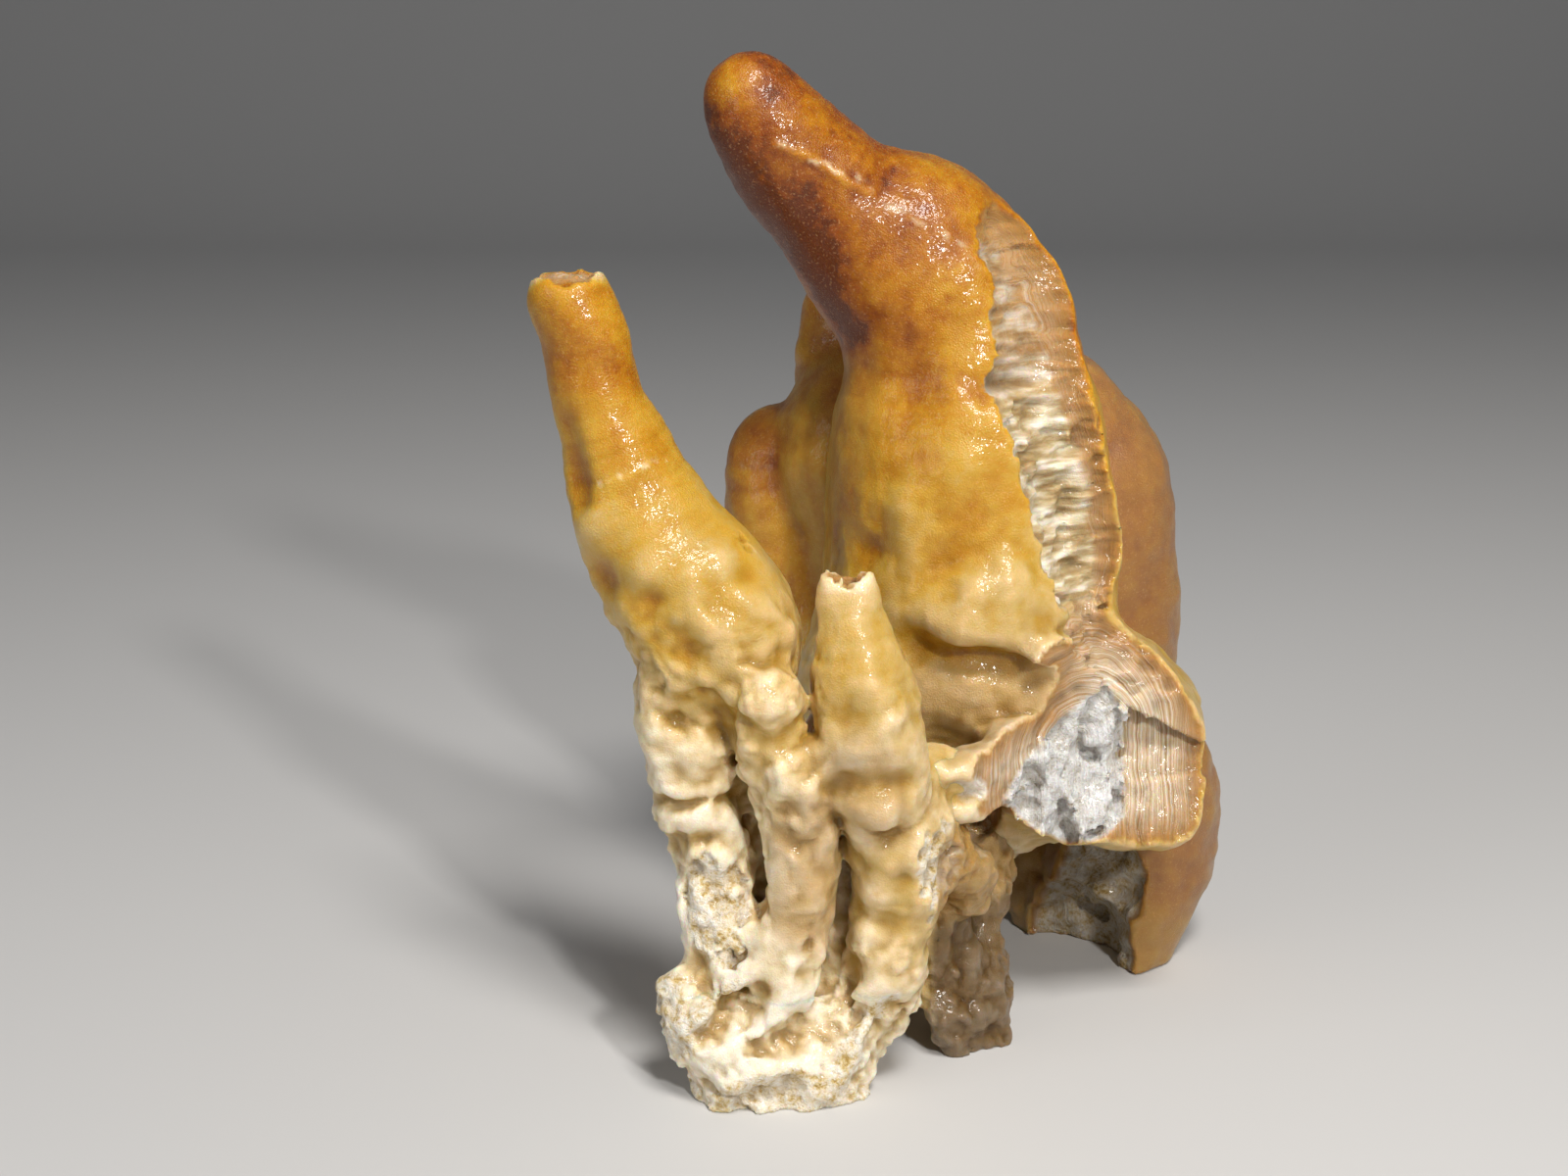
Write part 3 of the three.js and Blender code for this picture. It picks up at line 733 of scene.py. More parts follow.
def make_aragonite():
    """Glassy skin, stained from cream to amber, and banded, silky or chalky where it is broken."""
    bsdf = tree.nodes["Principled BSDF"]
    place = node("ShaderNodeTexCoord").outputs["Object"]
    hollow, tone, depth, layer, bands, silk, chalk, crust, frost_and_sheen, painted_shade, pale = [
        node("ShaderNodeAttribute", attribute_name=mark).outputs["Fac"] for mark in mark_names
    ]

    # the stained skin, with painted shade in its hollows and a frosted pinkish brown that is partly painted
    # sheen
    mottle = cloud(place, 2.2, 3.0)
    stain = add(tone, around(cloud(place, 9.0, 3.0), 0.34))
    stain = add(stain, around(mottle, 0.24))
    stain = add(stain, around(cloud(place, 0.8, 2.0), 0.14))
    # painted shade: the stain runs deeper in the hollows
    stain = add(stain, times(hollow, 0.10))
    colour = ramp(stain, stain_colours)
    # a frosted pinkish brown, partly the crust's own colour and partly painted sheen on faces seen edge-on
    colour = blend(times(frost_and_sheen, 0.9), colour, (0.34, 0.20, 0.095, 1))
    grit = cloud(place, 0.32, 1.0)
    frost = node("ShaderNodeMapRange", in_Value=grit, in_1=0.60, in_2=0.74, in_3=0.0, in_4=0.24)
    colour = blend(frost.outputs[0], colour, (0.78, 0.48, 0.22, 1))
    colour = blend(pale, colour, (0.84, 0.72, 0.48, 1))

    # the layers, cut across
    layer = add(layer, times(cloud(place, 5.0), 1.8))
    banding = node("ShaderNodeTexNoise", noise_dimensions="1D", in_W=layer, in_Scale=2.1, in_Detail=3.0)
    banding.inputs["Roughness"].default_value = 0.75
    stripes = banding.outputs["Fac"]
    layers = ramp(stripes, layer_colours)
    rim = node("ShaderNodeMapRange", in_Value=depth, in_1=0.8, in_2=6.5).outputs[0]
    layers = blend(rim, (0.43, 0.22, 0.06, 1), layers)
    colour = blend(bands, colour, layers)

    # the silky threads of the scar
    combed = node("ShaderNodeMapping", in_Vector=place, in_Scale=(110, 110, 560)).outputs["Vector"]
    fibres = node("ShaderNodeTexNoise", in_Vector=combed, in_Scale=1.0, in_Detail=3.0).outputs["Fac"]
    patchy = add(fibres, around(cloud(place, 5.0, 1.0), 0.4))
    colour = blend(silk, colour, ramp(patchy, thread_colours))

    # chalk and rusty crust
    specks = cloud(place, 0.7, 4.0, 0.7)
    pits = cloud(place, 2.0, 3.0, 0.65)
    pocked = add(times(specks, 0.5), times(pits, 0.5))
    colour = blend(chalk, colour, ramp(pocked, powder_colours))
    colour = blend(crust, colour, ramp(pocked, rust_colours))

    # painted shade and light: darker hollows, paler knobs, and faces darkened with painted shade
    sunk = add(times(hollow, 0.5), 0.5, True)
    off_golden = maths("ABSOLUTE", maths("SUBTRACT", tone, 0.35))
    strength = maths("SUBTRACT", 0.85, times(off_golden, 1.2), True)
    strength = times(strength, maths("SUBTRACT", 1.0, times(chalk, 0.5)))
    colour = darkened(strength, colour, ramp(sunk, painted_relief_shade))
    colour = blend(painted_shade, colour, darkened(1.0, colour, (0.26, 0.22, 0.19, 1)))
    tree.links.new(colour, bsdf.inputs["Base Color"])

    # fine relief, gloss, and the light that the stone lets in
    powdery = maths("MAXIMUM", chalk, crust)
    grain = node("ShaderNodeTexVoronoi", in_Vector=place, in_Scale=3000.0).outputs["Distance"]
    crystals = bump(grain, 0.35, 0.0003)
    pores = bump(pocked, times(powdery, 0.9), 0.0016, crystals)
    ribs = bump(fibres, times(silk, 0.8), 0.0010, pores)
    steps = bump(stripes, times(bands, 0.7), 0.0008, ribs)
    tree.links.new(steps, bsdf.inputs["Normal"])
    facets = bump(cloud(place, 1.0, 2.0), 0.7, 0.0004)
    tree.links.new(facets, bsdf.inputs["Coat Normal"])

    rough = add(0.26, times(mottle, 0.24))
    rough = add(rough, times(bands, 0.14))
    rough = add(rough, times(powdery, 0.45), True)
    tree.links.new(rough, bsdf.inputs["Roughness"])
    lit_through = maths("SUBTRACT", 0.75, times(powdery, 0.6))
    tree.links.new(lit_through, bsdf.inputs["Subsurface Weight"])
    bsdf.inputs["IOR"].default_value = 1.5
    bsdf.inputs["Specular IOR Level"].default_value = 0.22
    bsdf.inputs["Coat Weight"].default_value = 0.36
    bsdf.inputs["Coat Roughness"].default_value = 0.12
    bsdf.inputs["Subsurface Radius"].default_value = (1.0, 0.42, 0.14)
    bsdf.inputs["Subsurface Scale"].default_value = 0.0018
    bsdf.inputs["Sheen Weight"].default_value = 0.035
    bsdf.inputs["Sheen Roughness"].default_value = 0.32
    bsdf.inputs["Sheen Tint"].default_value = (1.0, 0.74, 0.58, 1)


make_aragonite()
stone(
    "spire", spire_skin, spire_marks, low=(-44, -46, 17), high=(62, 44, 190), pitch=0.85,
    material=amber, nodes=["main_stalactite"],
)

# ------------------------------------------------------------------------------
# The lobes behind the spire: shorter aragonite growths that ran together with it, three on the
# left down to the back of the root, and a wide one on the right that ends in the right foot.

left_lobes = {
    "rear_tall": [
        [-9.7, 42, 136.3, 8.9, 0.82], [-8.4, 42, 124.1, 12.2, 0.78], [-4.6, 42, 105.6, 15.4, 0.7],
        [0, 39, 85, 17, 0.6], [4, 36, 62, 16, 0.5],
    ],
    "rear_mid": [
        [-7.5, 31, 112.8, 14.3, 0.78], [-6.2, 30, 103.9, 19, 0.72], [-3, 28, 91, 17, 0.64],
        [-0.6, 26, 73.9, 16.1, 0.6], [0, 24, 55, 16, 0.5],
    ],
    "rear_low": [
        [-23.4, 36, 103, 10.9, 0.9], [-22.2, 34, 88.5, 13, 0.72], [-17, 30, 72.7, 12.6, 0.66],
        [-12, 24, 55, 13.4, 0.5], [-12, 20, 38, 14, 0.4], [-14, 20, 20, 15, 0.3], [-15, 22, 2, 15, 0.2],
    ],
}
right_lobes = {
    "right_up": [
        [29.7, 30, 112.3, 15.4, 0.88], [35.6, 27, 98.6, 19.5, 0.86], [38.1, 26, 82.4, 19.2, 0.82],
        [38.7, 25, 63.6, 18.8, 0.78], [36, 25, 46, 17, 0.7],
    ],
    "right_low": [
        [48.2, 26, 46, 14.5, 0.8], [51.7, 27, 33, 17, 0.8], [50.9, 26, 20, 16.7, 0.8],
        [46.5, 23, 9, 15.6, 0.7], [43, 20, -3, 13.5, 0.7],
    ],
    "rear_right": [
        [22, 46, 104, 9, 0.86], [22, 45, 90, 13, 0.8], [20, 43, 72, 15, 0.7], [18, 38, 52, 16, 0.6],
    ],
    "foot_wall": [
        [32, 43, 50, 12, 0.6], [33, 40, 30, 11.5, 0.5], [35, 39, 14, 11.5, 0.5], [38, 36, 0, 11, 0.5],
    ],
}


def lobe_growth(points, lobes):
    away, tone = grow(points, {}, lobes)
    plain = away.copy()
    close = np.flatnonzero(np.abs(away) < 6)
    p = points[close]
    low = (1 - fade(p[:, 2], 25, 75)) * (1 - 0.75 * fade(p[:, 0], 30, 40) * (1 - fade(p[:, 1], 34, 40)))
    fine = 0.12 * crumple(p, 2.6, 16)
    away[close] += 0.8 * crumple(p, 13, 14) + (0.4 + 0.3 * low) * crumple(p, 6, 15) + fine
    away[close] += low * (0.4 - 1.5 * nodules(p, 8.0, 17) - 0.6 * nodules(p, 3.6, 18))
    return away, tone, plain


def left_lobes_skin(points):
    away, _, _ = lobe_growth(points, left_lobes)
    return np.maximum(away, -points[:, 2])


def left_lobes_marks(points):
    _, tone, plain = lobe_growth(points, left_lobes)
    healed = crack(points, [[-33.5, 102.6], [-30, 103.6], [-26.0, 104.0]], 91)
    return {"tone": shaded_in_dents(tone, plain), "frost_and_sheen": 0.12, "pale": healed}


def right_lobes_skin(points):
    away, _, _ = lobe_growth(points, right_lobes)
    away = break_out(points, away, [stub_break, *arch_breaks])
    return np.maximum(away, -points[:, 2])


def right_lobes_marks(points):
    away, tone, plain = lobe_growth(points, right_lobes)
    depth = np.maximum(0, -away)
    broken = fade(depth, 0.35, 0.9) * (points[:, 2] > 0.3)
    # darker towards the bottom
    darker_below = 0.08 + 0.14 * (1 - fade(points[:, 2], 75, 110))
    return {
        "tone": shaded_in_dents(tone, plain),
        "depth": depth,
        "layer": depth,
        "bands": broken,
        "crust": broken * fade(depth, 1.2, 2.2),
        # frosted crust colour, partly painted sheen on these side faces seen edge-on
        "frost_and_sheen": 0.60 * (1 - broken),
        # painted shade on the broken faces, the wall of the hollow under the stub, and darker towards the
        # bottom
        "painted_shade": 0.55 * broken + darker_below * (1 - broken),
    }


stone(
    "left_lobes", left_lobes_skin, left_lobes_marks, low=(-42, -2, -3), high=(26, 64, 152), pitch=1.1,
    material=amber, nodes=["rear_left_stalactite"],
)
stone(
    "right_lobes", right_lobes_skin, right_lobes_marks, low=(2, -14, -3), high=(76, 64, 138), pitch=1.0,
    material=amber, nodes=["rear_right_stalactite"],
)

# ------------------------------------------------------------------------------
# The fingers, their legs and the root: thinner strands of cream and golden aragonite that hang
# free, run together below in knobbly legs, and end in the porous root that the cluster broke
# off at. Thin sheets, a web and a curtain, join them to the stub and the floor.

finger_stems = {
    "web_root": [[0.9, -34, 59, 5.5, 0.45], [5, -32.5, 58.7, 5.2, 0.42], [9, -31.5, 58.4, 3.5, 0.4]],
    "wing": [[3, -34, 45, 7, 0.5], [9, -29, 40, 6.5, 0.45], [11, -24, 34, 6, 0.4]],
    "front": [
        [-11.8, -40, 94.5, 4.4, 0.53], [-10.7, -41, 88.9, 6.1, 0.52], [-9.7, -42, 81.7, 8, 0.5],
        [-8.4, -42, 74.5, 9.3, 0.46], [-7.1, -42, 66.7, 8.6, 0.39], [-6.6, -43, 61.5, 9, 0.37],
        [-4.9, -39, 55.4, 8.2, 0.36], [-2.2, -38, 50.3, 9.9, 0.37], [-1.2, -38, 44.7, 9.7, 0.39],
        [-2.5, -38, 37, 8.2, 0.39], [-4.1, -38, 31.3, 7.3, 0.39], [-4.2, -38, 25.5, 7.3, 0.36],
        [-4.6, -38, 19.6, 6.1, 0.29],
    ],
    "middle_leg": [
        [-26.1, -45, 76.5, 6.1, 0.41], [-24.7, -42, 67.6, 6.4, 0.37], [-21.6, -42, 62.2, 7.4, 0.3],
        [-20.4, -42, 54.8, 6.6, 0.29], [-19.5, -41, 47.8, 6, 0.3], [-19.5, -41, 40.3, 6, 0.33],
        [-20.9, -41, 32.7, 6, 0.29], [-23, -42, 25.4, 6, 0.22], [-25, -41, 18, 6, 0.19],
    ],
    "left_leg": [
        [-40.5, -34, 76, 8.6, 0.35], [-40.1, -34, 68.6, 8.6, 0.32], [-39.5, -34, 61.1, 7.8, 0.31],
        [-38.7, -34, 53.6, 7.3, 0.26], [-37.3, -34, 47.9, 7.2, 0.25], [-35.6, -35, 42.2, 6.4, 0.18],
        [-35.2, -37, 36.3, 6.8, 0.14], [-34.6, -38, 28.4, 6.4, 0.14], [-34.7, -38, 20.6, 6.5, 0.15],
    ],
    "left_inner": [
        [-31, -30, 72, 7, 0.28], [-29, -29, 58, 5, 0.28], [-28, -28, 44, 5.2, 0.21],
        [-27, -28, 30, 5.6, 0.17], [-27, -30, 16, 7, 0.14],
    ],
    "right_inner": [
        [-13, -31, 66, 6, 0.28], [-12, -29, 52, 5, 0.28], [-12, -28, 40, 5, 0.24], [-12, -29, 28, 5, 0.21],
        [-13, -31, 14, 7, 0.17],
    ],
    "left": [
        [-60, -30, 144.5, 7.2, 0.77], [-57.9, -30, 138.6, 7.9, 0.75], [-56.4, -30, 132.1, 8.5, 0.73],
        [-55.2, -30, 126, 8.2, 0.7], [-52.8, -30, 118.9, 9.4, 0.67], [-49, -30, 108.6, 11.5, 0.63],
        [-44.5, -31, 99.5, 13.5, 0.59], [-38.9, -32, 92.3, 14.9, 0.53], [-34.4, -33, 84.8, 14.3, 0.47],
        [-33.2, -33, 77.5, 11.5, 0.43],
    ],
    "root": [
        [-41, -41, 18, 5, 0.15], [-36, -42, 11.5, 7.4, 0.12], [-27, -41, 7, 9.5, 0.1],
        [-17, -38, 8.5, 9, 0.12], [-8, -35, 12.5, 7.3, 0.2],
    ],
    "root_front": [[-32, -41, 3, 7.5, 0.1], [-23, -41.5, 1, 8.3, 0.08], [-14, -40, 3, 7, 0.1]],
    "left_horn": [[-14.4, -41, 94, 2.6, 0.4], [-14.8, -41, 97.8, 1.7, 0.35]],
    "right_horn": [[-9.4, -41, 94, 2.4, 0.4], [-8.9, -41, 98.4, 1.3, 0.35]],
    "tongue": [[-6, -30, 15, 5, 0.5], [-9.5, -27, 7, 5.5, 0.55], [-12, -27, -2, 5.5, 0.55]],
    "root_back": [[-24, -30, 7, 9, 0.2], [-20, -12, 6, 11, 0.2], [-17, 6, 4, 13, 0.2]],
    "curtain": [
        [4, -25, 27, 5, 0.4], [5.5, -23, 17, 4.4, 0.35], [8, -25, 8, 3.6, 0.3], [9.6, -26.5, 2, 2.2, 0.25],
        [9.8, -26.5, -1, 1.2, 0.25],
    ],
    "curtain_sheet": [
        [9, -20, 30, 4, 0.4], [10.5, -22, 18, 3, 0.35], [12.5, -23.5, 8, 2.4, 0.3],
        [13, -23.5, 3, 1.8, 0.3],
    ],
    "curtain_back": [
        [14, -4, 36, 8, 0.4], [15, -10, 22, 7, 0.35], [15, -17, 10, 6, 0.3], [16, -20, -4, 5, 0.3],
    ],
}
left_tip = [[-68, -31, 208.2, 60], [-60.6, -31, 208.4, 60], [-59.4, -31, 209.6, 60], [-50, -31, 209.6, 60]]
front_tip = [[-11.8, -60, 98.6, 1.9], [-11.8, -25, 98.6, 1.9]]
front_top = [[-20, -41, 112.4, 14], [-4, -41, 112.9, 14]]
wing_face = [[25, -58, 44, 26], [25, -58, 30, 26]]
finger_breaks = [
    (left_tip, 1.0, 2.2, 51), (front_tip, 0.8, 1.8, 53), (front_top, 0.7, 1.6, 58),
    (wing_face, 1.0, 2.6, 57),
]
pale_left_tip = [[-66, -31, 150, 2], [-56, -31, 151, 2]]
pale_front_tip = [[-12, -41, 99, 2.5], [-12, -41, 98, 2.5]]
finger_crack = [[-56, 113.5], [-53.2, 115.0], [-49.9, 116.3], [-46.6, 117.2], [-43.5, 117.5]]
root_crusts = [
    ([[-44, -43, 19, 4.5], [-42, -47, 13, 3.5]], 1.2),
    ([[-38.5, -48.5, 17.5, 2.2], [-33, -48.5, 22, 2.2]], 1.0),
    ([[-33, -52, 3, 3.5], [-27, -52, 4.5, 4], [-21, -51, 4.5, 4], [-17, -49.5, 2, 3.5]], 1.2),
    ([[-13.5, -48, 5, 2.5], [-9, -46.5, 13, 2.5], [-4, -45, 21, 1.6]], 1.0),
]

root_relief = {
    "ridge_left": [
        [-40.6, -48.5, 16.8, 2.4, 1.6], [-36, -48.8, 20, 2.4, 1.8], [-31.5, -47.8, 24, 2.4, 1.7],
        [-27.4, -46.8, 27.7, 2, 1.3],
    ],
    "ridge_right": [
        [-34.5, -49.3, 11.5, 2.4, 1.4], [-29, -49.2, 15, 2.4, 1.2], [-23.5, -47.8, 19, 2.4, 1.1],
        [-18.5, -46.3, 23, 2.4, 1.1],
    ],
    "front_lip": [
        [-32.1, -51.3, 6, 2, 1.5], [-28.3, -50.8, 9, 2, 1.6], [-23, -49.5, 9.9, 2, 1.6],
        [-18.6, -48.8, 7.3, 2, 1.5], [-16.5, -48.5, 3.5, 2, 1.2],
    ],
    "under_lip": [[-28, -51, 3.5, 3, -1.3], [-22, -50.5, 4, 3, -1.3]],
    "right_rim": [
        [-2, -43, 21, 2, 1.3], [-7, -44.4, 17.8, 2.2, 1.4], [-10.5, -46.5, 11, 2.2, 1.4],
        [-14.5, -47.5, 3, 2.2, 1.2],
    ],
    "left_pool": [
        [-37.5, -49, 14.5, 2.4, -1.4], [-31.5, -48.5, 18.5, 2.4, -1.7], [-26.5, -47.5, 22.5, 2.2, -1.5],
    ],
    "right_pool": [[-27, -49.5, 12.5, 3, -1.3], [-20, -48.5, 14, 3.4, -1.8], [-13.5, -46.5, 15.5, 3, -1.5]],
    "left_shaft": [[-31, -43.5, 22.5, 1.8, -2.8], [-30.5, -44, 26, 1.6, -2.2]],
    "right_shaft": [[-11.4, -40.5, 21, 1.8, -2.6], [-11, -41.5, 26, 1.6, -2.2]],
    "chalk_lip": [[-10.5, -43.5, 20, 1.7, 1.3], [-5.4, -45.8, 23, 1.8, 1.6], [-0.5, -43.5, 22, 1.7, 1.3]],
    "under_chalk_lip": [[-8, -44.5, 17.5, 1.8, -1.3], [-4, -44.5, 19, 1.8, -1.5]],
}
left_finger_relief = {
    "left_valley": [
        [-61, -36, 123, 3.2, -1.2], [-59.5, -36, 115.5, 3.2, -1.4], [-58, -37.5, 110.5, 3.2, -1.2],
    ],
    "shoulder_lump": [[-56.5, -39, 107, 5, 1.3]],
    "under_shoulder": [[-54.5, -39, 97, 4, -1.2]],
    "lit_ridge": [[-38.5, -45.5, 99, 2.6, 0.8], [-37.5, -46.5, 97, 2.6, 0.8]],
    "yellow_lump": [[-29, -43.5, 94.5, 4.5, 1.5]],
    "knee_groove": [[-39.5, -46.5, 85, 3, -1.3], [-36, -45.5, 77, 3, -1.3], [-33.5, -43, 71, 3, -1.3]],
    "crack": [[-53, -40, 114.5, 0.8, 0.35], [-50, -40, 115.5, 0.8, 0.35], [-46.5, -38.5, 117.5, 0.8, 0.35]],
    "tip_notch": [[-60, -35.5, 148.5, 1, -2.2]],
    "waist": [[-63.5, -35, 134.5, 5, -0.7], [-56, -37, 134, 5, -0.5], [-48.5, -30.5, 133.5, 5, -0.6]],
    **knobs(
        [-46.5, -45, 100, 3.5, 0.8], [-33.5, -43, 101, 3.5, 0.8], [-45.5, -45.5, 94.5, 3.5, -1],
        [-41, -47, 88.5, 4, -1.3], [-36, -46.5, 97, 3, -0.9], [-29.5, -42.5, 98.5, 3.5, -1.2],
        [-32.5, -46.5, 92.5, 3.5, -0.9], [-39.5, -47, 91, 4.5, 0.9], [-33.5, -47, 90, 3.5, 0.9],
        [-25, -42.5, 89.5, 4, 1], [-38.5, -46.5, 82.5, 3, 0.9], [-36.5, -46.5, 80.5, 2.2, 0.9],
    ),
}
left_leg_relief = {
    "ring_a": [[-46, -40.5, 67.5, 4.5, 1], [-41, -42.5, 67, 4.5, 1], [-35, -41, 66.5, 4.5, 1]],
    "ring_b": [[-45.5, -38.5, 58.5, 4, 1], [-40.5, -41.5, 59.5, 4, 1], [-34.5, -40, 59.5, 4, 1]],
    "fold_b": [
        [-46, -38, 56, 1.8, -1.1], [-41.5, -41, 56, 1.8, -1.2], [-37, -41, 57, 1.8, -1.1],
        [-33, -38, 57, 1.8, -1.1],
    ],
    "ring_c": [[-43, -40, 52.5, 3, 1.3], [-38, -41.5, 53.5, 3, 1.3], [-33.5, -40, 52.5, 3, 1.2]],
    "fold_c": [[-43.5, -36.5, 46.5, 2.2, -1.6], [-40.5, -41, 49, 2.2, -1.7], [-37, -41.5, 50, 2.2, -1.4]],
    "ring_d": [[-37, -41, 46, 3, 1], [-33, -40, 46.5, 3, 1]],
    "ridge_low": [[-29.5, -41.5, 32.5, 3, 0.9], [-33, -44, 26.5, 3, 0.9]],
    "dent_low": [[-38.5, -43, 26.5, 3, -0.9]],
    "bulge_top": [[-47, -39.5, 78, 3, 0.8], [-47, -39.5, 70.5, 3, 0.8]],
    "leg_dent": [[-42, -42, 72.5, 3, -0.9]],
}
middle_leg_relief = {
    "knob": [[-26, -50, 78.5, 6.5, 0.8]],
    "knob_lip": [
        [-31, -48, 75.5, 1.7, -1.4], [-27.5, -50, 71.5, 1.8, -1.8], [-23.5, -50, 70.8, 1.8, -1.8],
        [-20, -47.5, 73.5, 1.7, -1.2],
    ],
    "knee_bump": [[-14.5, -46.5, 66, 2.8, 1.4]],
    "knee_dent": [[-22, -49, 58.5, 2.2, -0.9]],
    "knee_lip": [[-24, -47.5, 53, 1.8, -1], [-20, -47.5, 51, 1.8, -1.2], [-17, -47.5, 52.5, 1.8, -1]],
    "cream_ridge": [[-23.5, -46, 42.5, 2.4, 1.1], [-24, -45, 37.5, 2.4, 1.1], [-25, -46.5, 32, 2.4, 1.1]],
    "crater": [[-18.5, -46, 31.5, 1.3, -0.8]],
    "ring_left": [[-25.5, -46.5, 29.5, 2, 0.9]],
    "spur": [[-23.5, -48, 25.5, 2.5, 1.2], [-25, -47.5, 21.5, 2.5, 1.2]],
    **knobs(
        [-23.5, -49, 65, 3, 0.8], [-19.5, -49, 61, 3, 0.9], [-21, -47.5, 29.5, 2.2, 1.1],
        [-17, -45, 30.5, 2, 0.9],
    ),
}
pool_stain = {
    "left": [[-37.5, -49, 14.5, 3.5, 0.08], [-31.5, -48.5, 18.5, 3.5, 0.1], [-26.5, -47.5, 22.5, 3.2, 0.1]],
    "right": [[-27, -49.5, 12.5, 4, 0.06], [-20, -48.5, 14, 4.4, 0.1], [-13.5, -46.5, 16.5, 4, 0.12]],
    "legs": [[-17, -44, 27, 3, 0.1], [-12, -42, 23, 3, 0.1]],
}
front_finger_relief = {
    "gloss_lump": [[-9, -50.5, 81.5, 3, 0.8]],
    "ledge": [
        [-14, -48, 69, 4, 1.2], [-11, -50, 69.5, 4, 1.6], [-7.5, -50.5, 69.5, 4, 1.5],
        [-3.5, -50, 69.5, 4, 1.5], [0, -46, 69, 4, 1],
    ],
    "under_ledge": [[-12, -50, 63, 3, -1.8], [-7.5, -52, 63.5, 3, -1.8], [-3, -50, 63.5, 3, -1.6]],
    **knobs(
        [-5.5, -51, 76, 4, 0.9], [-12.5, -50.5, 74, 3.5, -0.9], [-5.5, -51, 57, 3, 1],
        [-8, -46.5, 51, 3, 0.9], [-5, -48.5, 53.5, 2.5, -0.8], [1, -47.5, 49.5, 3.2, 1.1],
        [-4, -47, 47, 3.2, 1], [-1.5, -47.5, 44, 3, -0.9], [-6.5, -46, 41, 3.4, 1.1], [2, -47, 44, 3, 0.9],
        [-8, -44, 32.5, 2.4, 1.1], [-4.5, -45.5, 35.5, 3, -0.8], [-3, -45.5, 26.5, 4, 0.9],
    ),
}
finger_reliefs = [left_finger_relief, left_leg_relief, middle_leg_relief, front_finger_relief, root_relief]
finger_relief_gain = 1.6


def finger_growth(points):
    away, tone = grow(points, {}, finger_stems)
    plain = away.copy()
    close = np.flatnonzero(np.abs(away) < 6)
    p = points[close]
    low = 1 - fade(p[:, 2], 80, 104)
    smooth = fade(p[:, 0], -18, -15) * fade(p[:, 2], 28, 34)
    low = low * (1 - 0.5 * smooth)
    root = 1 - fade(p[:, 2], 17, 25)
    fine = 0.18 * low * crumple(p, 2.2, 23)
    away[close] += 0.5 * crumple(p, 9, 21) + (0.2 + 0.35 * low) * crumple(p, 4.6, 22) + fine
    lumps = 1.4 * nodules(p, 7.5, 26) + 0.8 * nodules(p, 3.6, 27) + 0.5 * (scallops(p, 4.6, 81) - 0.4)
    away[close] += low * (0.35 - lumps)
    rubble = 0.8 * crumple(p, 4.4, 24) + 0.8 * (0.2 - nodules(p, 3.0, 25)) + 0.3 * crumple(p, 1.5, 28)
    away[close] += root * (rubble + 0.5 * (0.3 - scallops(p, 3.4, 84)))
    for relief in finger_reliefs:
        away[close] -= finger_relief_gain * swell(p, relief)
    away[close] += torn_wing(p) * (0.9 * (scallops(p, 3.2, 82) - 0.3) + 0.4 * crumple(p, 1.5, 83))
    away[close] += porous_patch(p) * (1.5 * scallops(p, 3.6, 29) + 0.8 * scallops(p, 1.7, 30))
    return away, tone, plain


def porous_patch(points):
    """Where the skin of the left leg has weathered to porous chalk."""
    ragged = points + 2.6 * crumple(points, 5.0, 71)[:, None] + 1.2 * crumple(points, 2.0, 72)[:, None]
    patch = [[-36.5, -41.5, 43.5, 3], [-37, -42.5, 38, 5.5], [-35.5, -43.5, 32.5, 4.5], [-33, -44.5, 29, 3]]
    return inside(ragged, patch, 1.0)


def torn_wing(points):
    """Where the thin wing beside the front leg is torn, granular and brown."""
    ragged = points + 1.0 * crumple(points, 2.5, 76)[:, None]
    x, y, z = ragged.T
    return fade(x, 4.5, 5.5) * fade(z, 27, 29) * (1 - fade(z, 50, 52))


def finger_skin(points):
    away, _, _ = finger_growth(points)
    away = break_out(points, away, [*finger_breaks, pocket_break, *arch_breaks])
    return np.maximum(away, -points[:, 2])


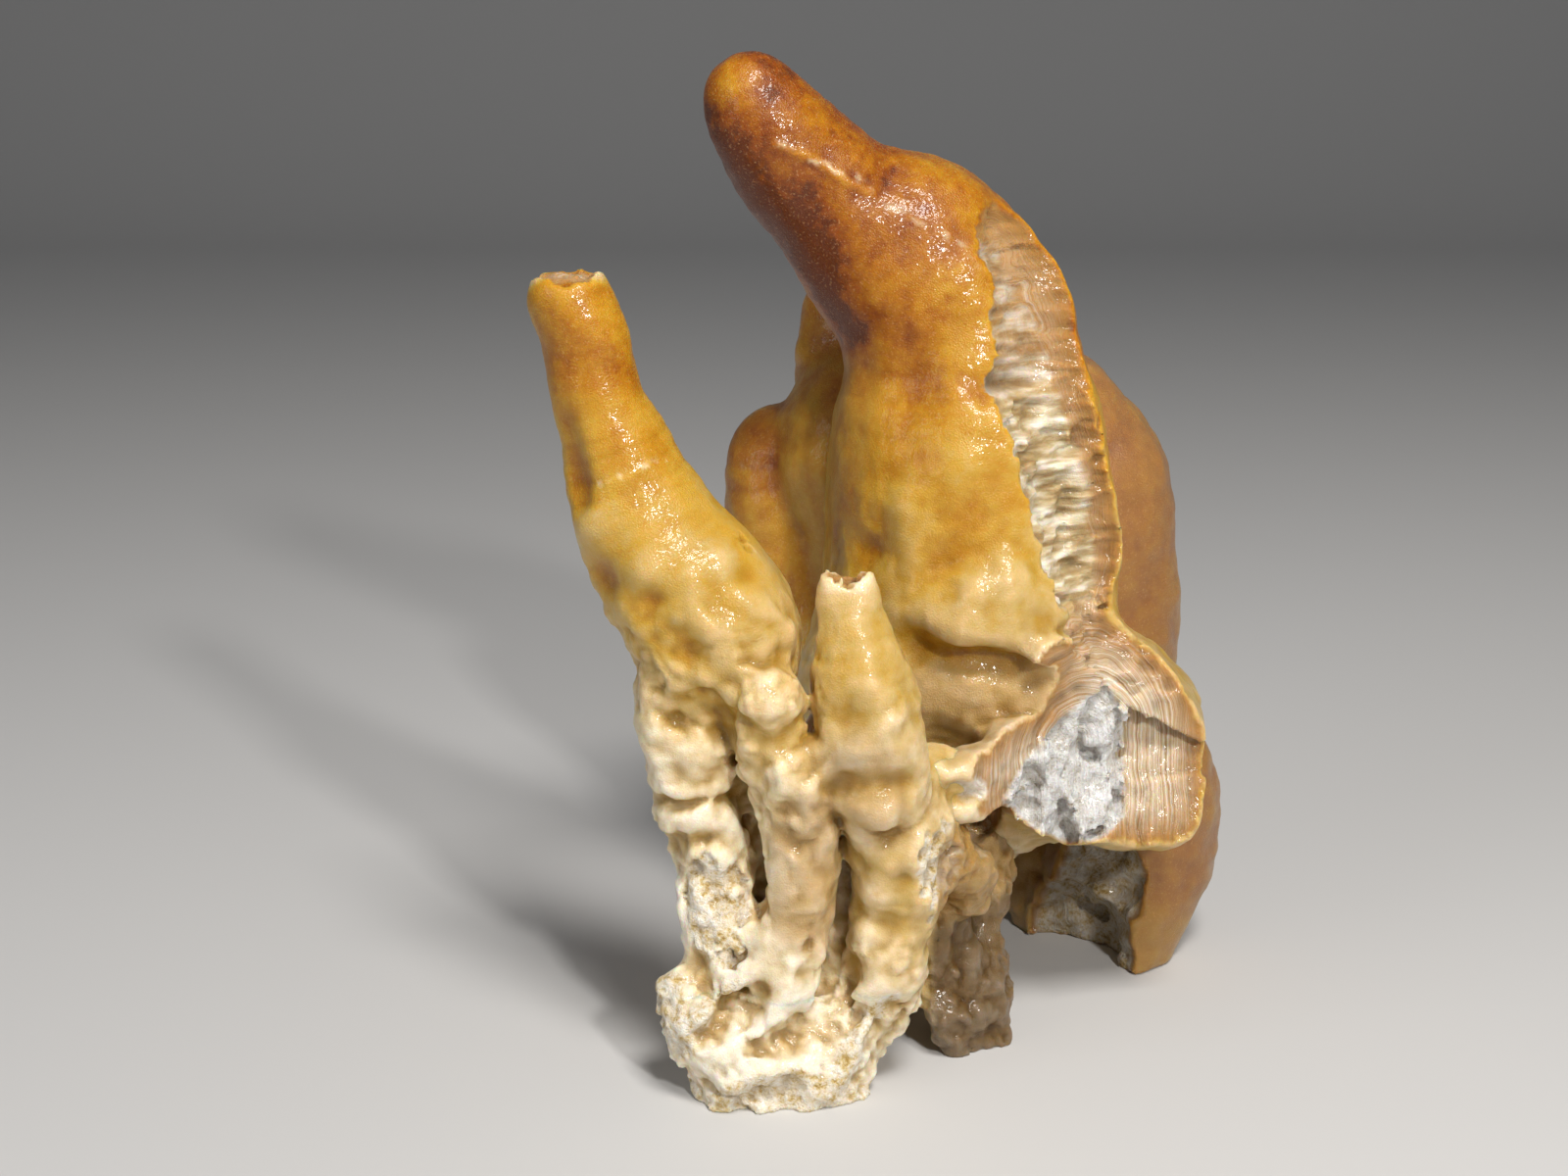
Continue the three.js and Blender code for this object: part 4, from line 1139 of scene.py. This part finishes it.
def finger_marks(points):
    away, tone, plain = finger_growth(points)
    x, y, z = points.T
    depth = np.maximum(0, -away) * (z > 0.3)
    broken = fade(depth, 0.35, 0.9)
    ragged = points + 1.5 * crumple(points, 4.0, 73)[:, None]
    crust = np.max([inside(ragged, line, soft) for line, soft in root_crusts], axis=0)
    crust = np.maximum(crust, 0.8 * fade(4.0 + 1.5 * crumple(points, 3.0, 74) - z, -0.5, 1.0) * (x < 0))
    porous = porous_patch(points)
    crust = np.max([crust, broken * (z < 60), porous], axis=0)
    torn = torn_wing(points)
    crust = crust * (1 - 0.65 * torn)
    frost_and_sheen = 0.45 * inside(points, [[-19, -47, 55, 5], [-19, -46, 36, 5]], 3.0)
    frost_and_sheen = np.maximum(frost_and_sheen, 0.4 * inside(points, [[-9, -50, 66, 5], [-6, -50, 56, 4]], 3.0))
    frost_and_sheen = np.maximum(frost_and_sheen, 0.6 * torn)
    # painted shade on the sheets right of the front leg, strongest low on the curtain
    painted_shade = fade(x, 3, 6) * (1 - fade(z, 44, 54)) * (0.2 + 0.8 * (1 - fade(z, 26, 30)))
    pale_tips = np.maximum(inside(points, pale_left_tip, 3.0), 0.5 * inside(points, pale_front_tip, 3.0))
    tone = tone + swell(points, pool_stain) + 0.10 * torn - 0.4 * pale_tips
    return {
        "tone": shaded_in_dents(tone, plain),
        "depth": depth,
        "layer": depth,
        "bands": broken * (z > 60),
        "chalk": 0.45 * porous,
        "crust": crust,
        "frost_and_sheen": frost_and_sheen,
        "painted_shade": painted_shade,
        "pale": crack(points, finger_crack, 89),
    }


split_height = 21.0  # where the legs' surface gives way to the root's
overlap = 6.0  # each goes on this far past it, inside the other
narrowing = 0.3  # and draws in by this much for every millimetre


def legs_skin(points):
    past = split_height - points[:, 2]
    return np.maximum(finger_skin(points) + narrowing * np.maximum(0, past), past - overlap)


def root_skin(points):
    past = points[:, 2] - split_height
    return np.maximum(finger_skin(points) + narrowing * np.maximum(0, past), past - overlap)


stone(
    "fingers", legs_skin, finger_marks, low=(-74, -60, 14), high=(30, -8, 158), pitch=0.75, material=amber,
    nodes=["left_stalactite", "left_leg", "middle_leg", "front_stalactite"],
)
stone(
    "root_foot", root_skin, finger_marks, low=(-56, -62, -3), high=(30, 26, 30), pitch=0.65, material=amber,
    nodes=["root", "curtain"],
)

# ------------------------------------------------------------------------------
# The corners of a box, rounded to plain numbers.


def plain(box):
    return [[round(float(v), 6) for v in corner] for corner in box]
